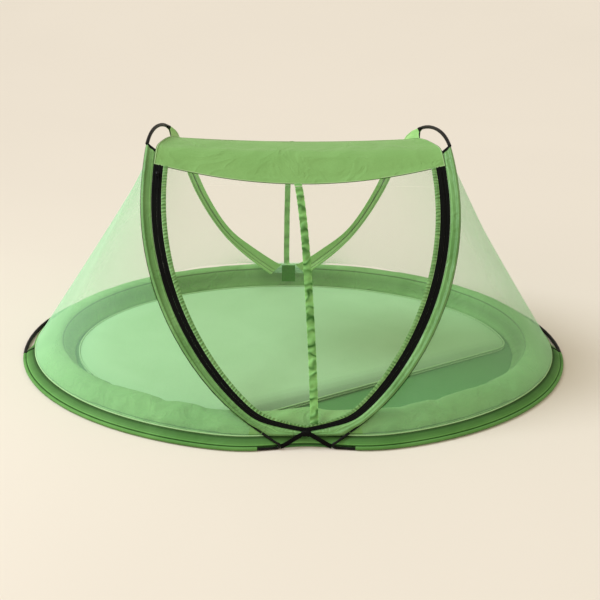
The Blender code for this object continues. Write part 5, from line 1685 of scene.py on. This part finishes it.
def makeStraps():
    footX = hoop["widths"][0] - hoop["footRadius"]
    angle = -math.degrees(math.acos((footX + 0.0005) / hoop["halfWidth"]))
    start = rimPoint(angle, base["tube"], 0.0)
    knotY = archPoint(hoop["zipBottom"]).y - small["knotForward"]
    inner = small["knotRadius"] * 0.9 + hoop["gap"]
    outer = footX - hoop["footRadius"] - hoop["gap"]
    for side, tag in ((1.0, "right"), (-1.0, "left")):
        def crumples(share, run, side=side):
            return (small["strapCrown"] * math.sin(math.pi * share)
                    + small["strapCrumple"] * wavy(run, 0.02, side))
        rows = []
        for share in steps(0.0, 1.0, 31):
            x = inner + (outer - inner) * share
            y = knotY + (start.y - knotY) * ease(share)
            high = small["strapRise"] + small["knotLift"] * (1.0 - share)
            z = high + (hoop["footRadius"] * 2.0 - small["strapRise"]) * share
            pinch = 0.55 + 0.45 * ease(share * 5.0)  # drawn together at the knot
            half = small["strapWidth"] / 2.0 * (1.0 - small["taper"] * share) * pinch
            rows.append((Vector((x * side, y, z - half)), Vector((x * side, y, z + half)),
                         Vector((0.0, -1.0, 0.0))))
        piece = layCloth("frontStrap_" + tag, ribbon(rows, 7, crumples))
        finish(piece, small["strapThickness"], 50.0, "webbingCloth", "black_zip", "tent_frame",
               ("front_strap_" + tag,))
        asSheet(piece, ["front_foot_" + tag])
    # two turns of webbing, crossed
    middle = (0.0, knotY, small["strapRise"] + small["knotLift"])
    bpy.ops.object.select_all(action="DESELECT")
    bpy.ops.mesh.primitive_torus_add(major_segments=40, minor_segments=14, location=middle,
                                     major_radius=small["knotTurn"],
                                     minor_radius=small["knotCord"])
    knot = bpy.context.object
    knot.name = "strapKnot"
    for corner in knot.data.vertices:
        turn = math.atan2(corner.co.y, corner.co.x)
        corner.co.z = corner.co.z * small["knotTall"] + small["knotTwist"] * math.sin(2.0 * turn)
        corner.co.x *= small["knotWide"]
        corner.co.y *= small["knotDeep"]
    edit(knot)
    bpy.ops.mesh.duplicate()
    bpy.ops.transform.rotate(value=math.radians(small["knotCross"]), orient_axis="X",
                             center_override=middle)
    bpy.ops.object.mode_set(mode="OBJECT")
    bpy.ops.object.transform_apply(location=True, rotation=True, scale=True)
    smooth(knot, 60.0)
    dress(knot, "webbingCloth", "black_zip", "tent_frame", ("front_knot",))
    print("straps knotted")


def tubeAlong(name, path, radius):  # closed cord through a loop of points
    rows, count = [], len(path)
    flat = Vector((1.0, 0.0, 0.0)).cross(path[count // 2] - path[0]).normalized()
    for i, spot in enumerate(path):
        run = (path[(i + 1) % count] - path[i - 1]).normalized()
        rows.append(roundRow(spot, run.cross(flat).normalized(), flat, radius))
    piece = layCloth(name, rows + rows[:1])
    sew(piece, 0.00001)
    smooth(piece, 80.0)
    return piece


def makePull():
    swing = next(joint for joint in frame["joints"] if joint["name"] == "pull_swing")
    eye = Vector(swing["pos_m"])
    low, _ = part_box("zip_pull")
    lowest = Vector((eye.x, low.y + small["pullRadius"], low.z + small["pullRadius"]))
    down, aside = (lowest - eye).normalized(), Vector((1.0, 0.0, 0.0))
    near, far, long = small["pullEye"], small["pullHalf"], small["pullLength"]
    path = []

    def bend(radius, middle, start):  # half a turn, at the eye or at the far end
        for turn in steps(start, start + 180.0, 13):
            c, s = math.cos(math.radians(turn)), math.sin(math.radians(turn))
            path.append(eye + down * (middle + radius * c) + aside * (radius * s))

    def leg(shares, side):
        for share in shares[1:-1]:
            path.append(eye + down * (near + (long - far - near) * share)
                        + aside * (side * (near + (far - near) * share)))
    bend(near, near, 90.0)
    leg(steps(0.0, 1.0, 10), -1.0)
    bend(far, long - far, -90.0)
    leg(steps(1.0, 0.0, 10), 1.0)
    piece = tubeAlong("pullLoop", path, small["pullRadius"])
    dress(piece, "webbingCloth", "black_zip", "pull", ("zip_pull",))


paintSolids()
makeSleeves()
makeCanopy()
makeHeaderNet()
makeZip()
makeDoor()
makeBack()
makeSideNets()
makeFlange()
makeTubes()
makeWall()
makeGround()
makeMat()
makeStraps()
makePull()
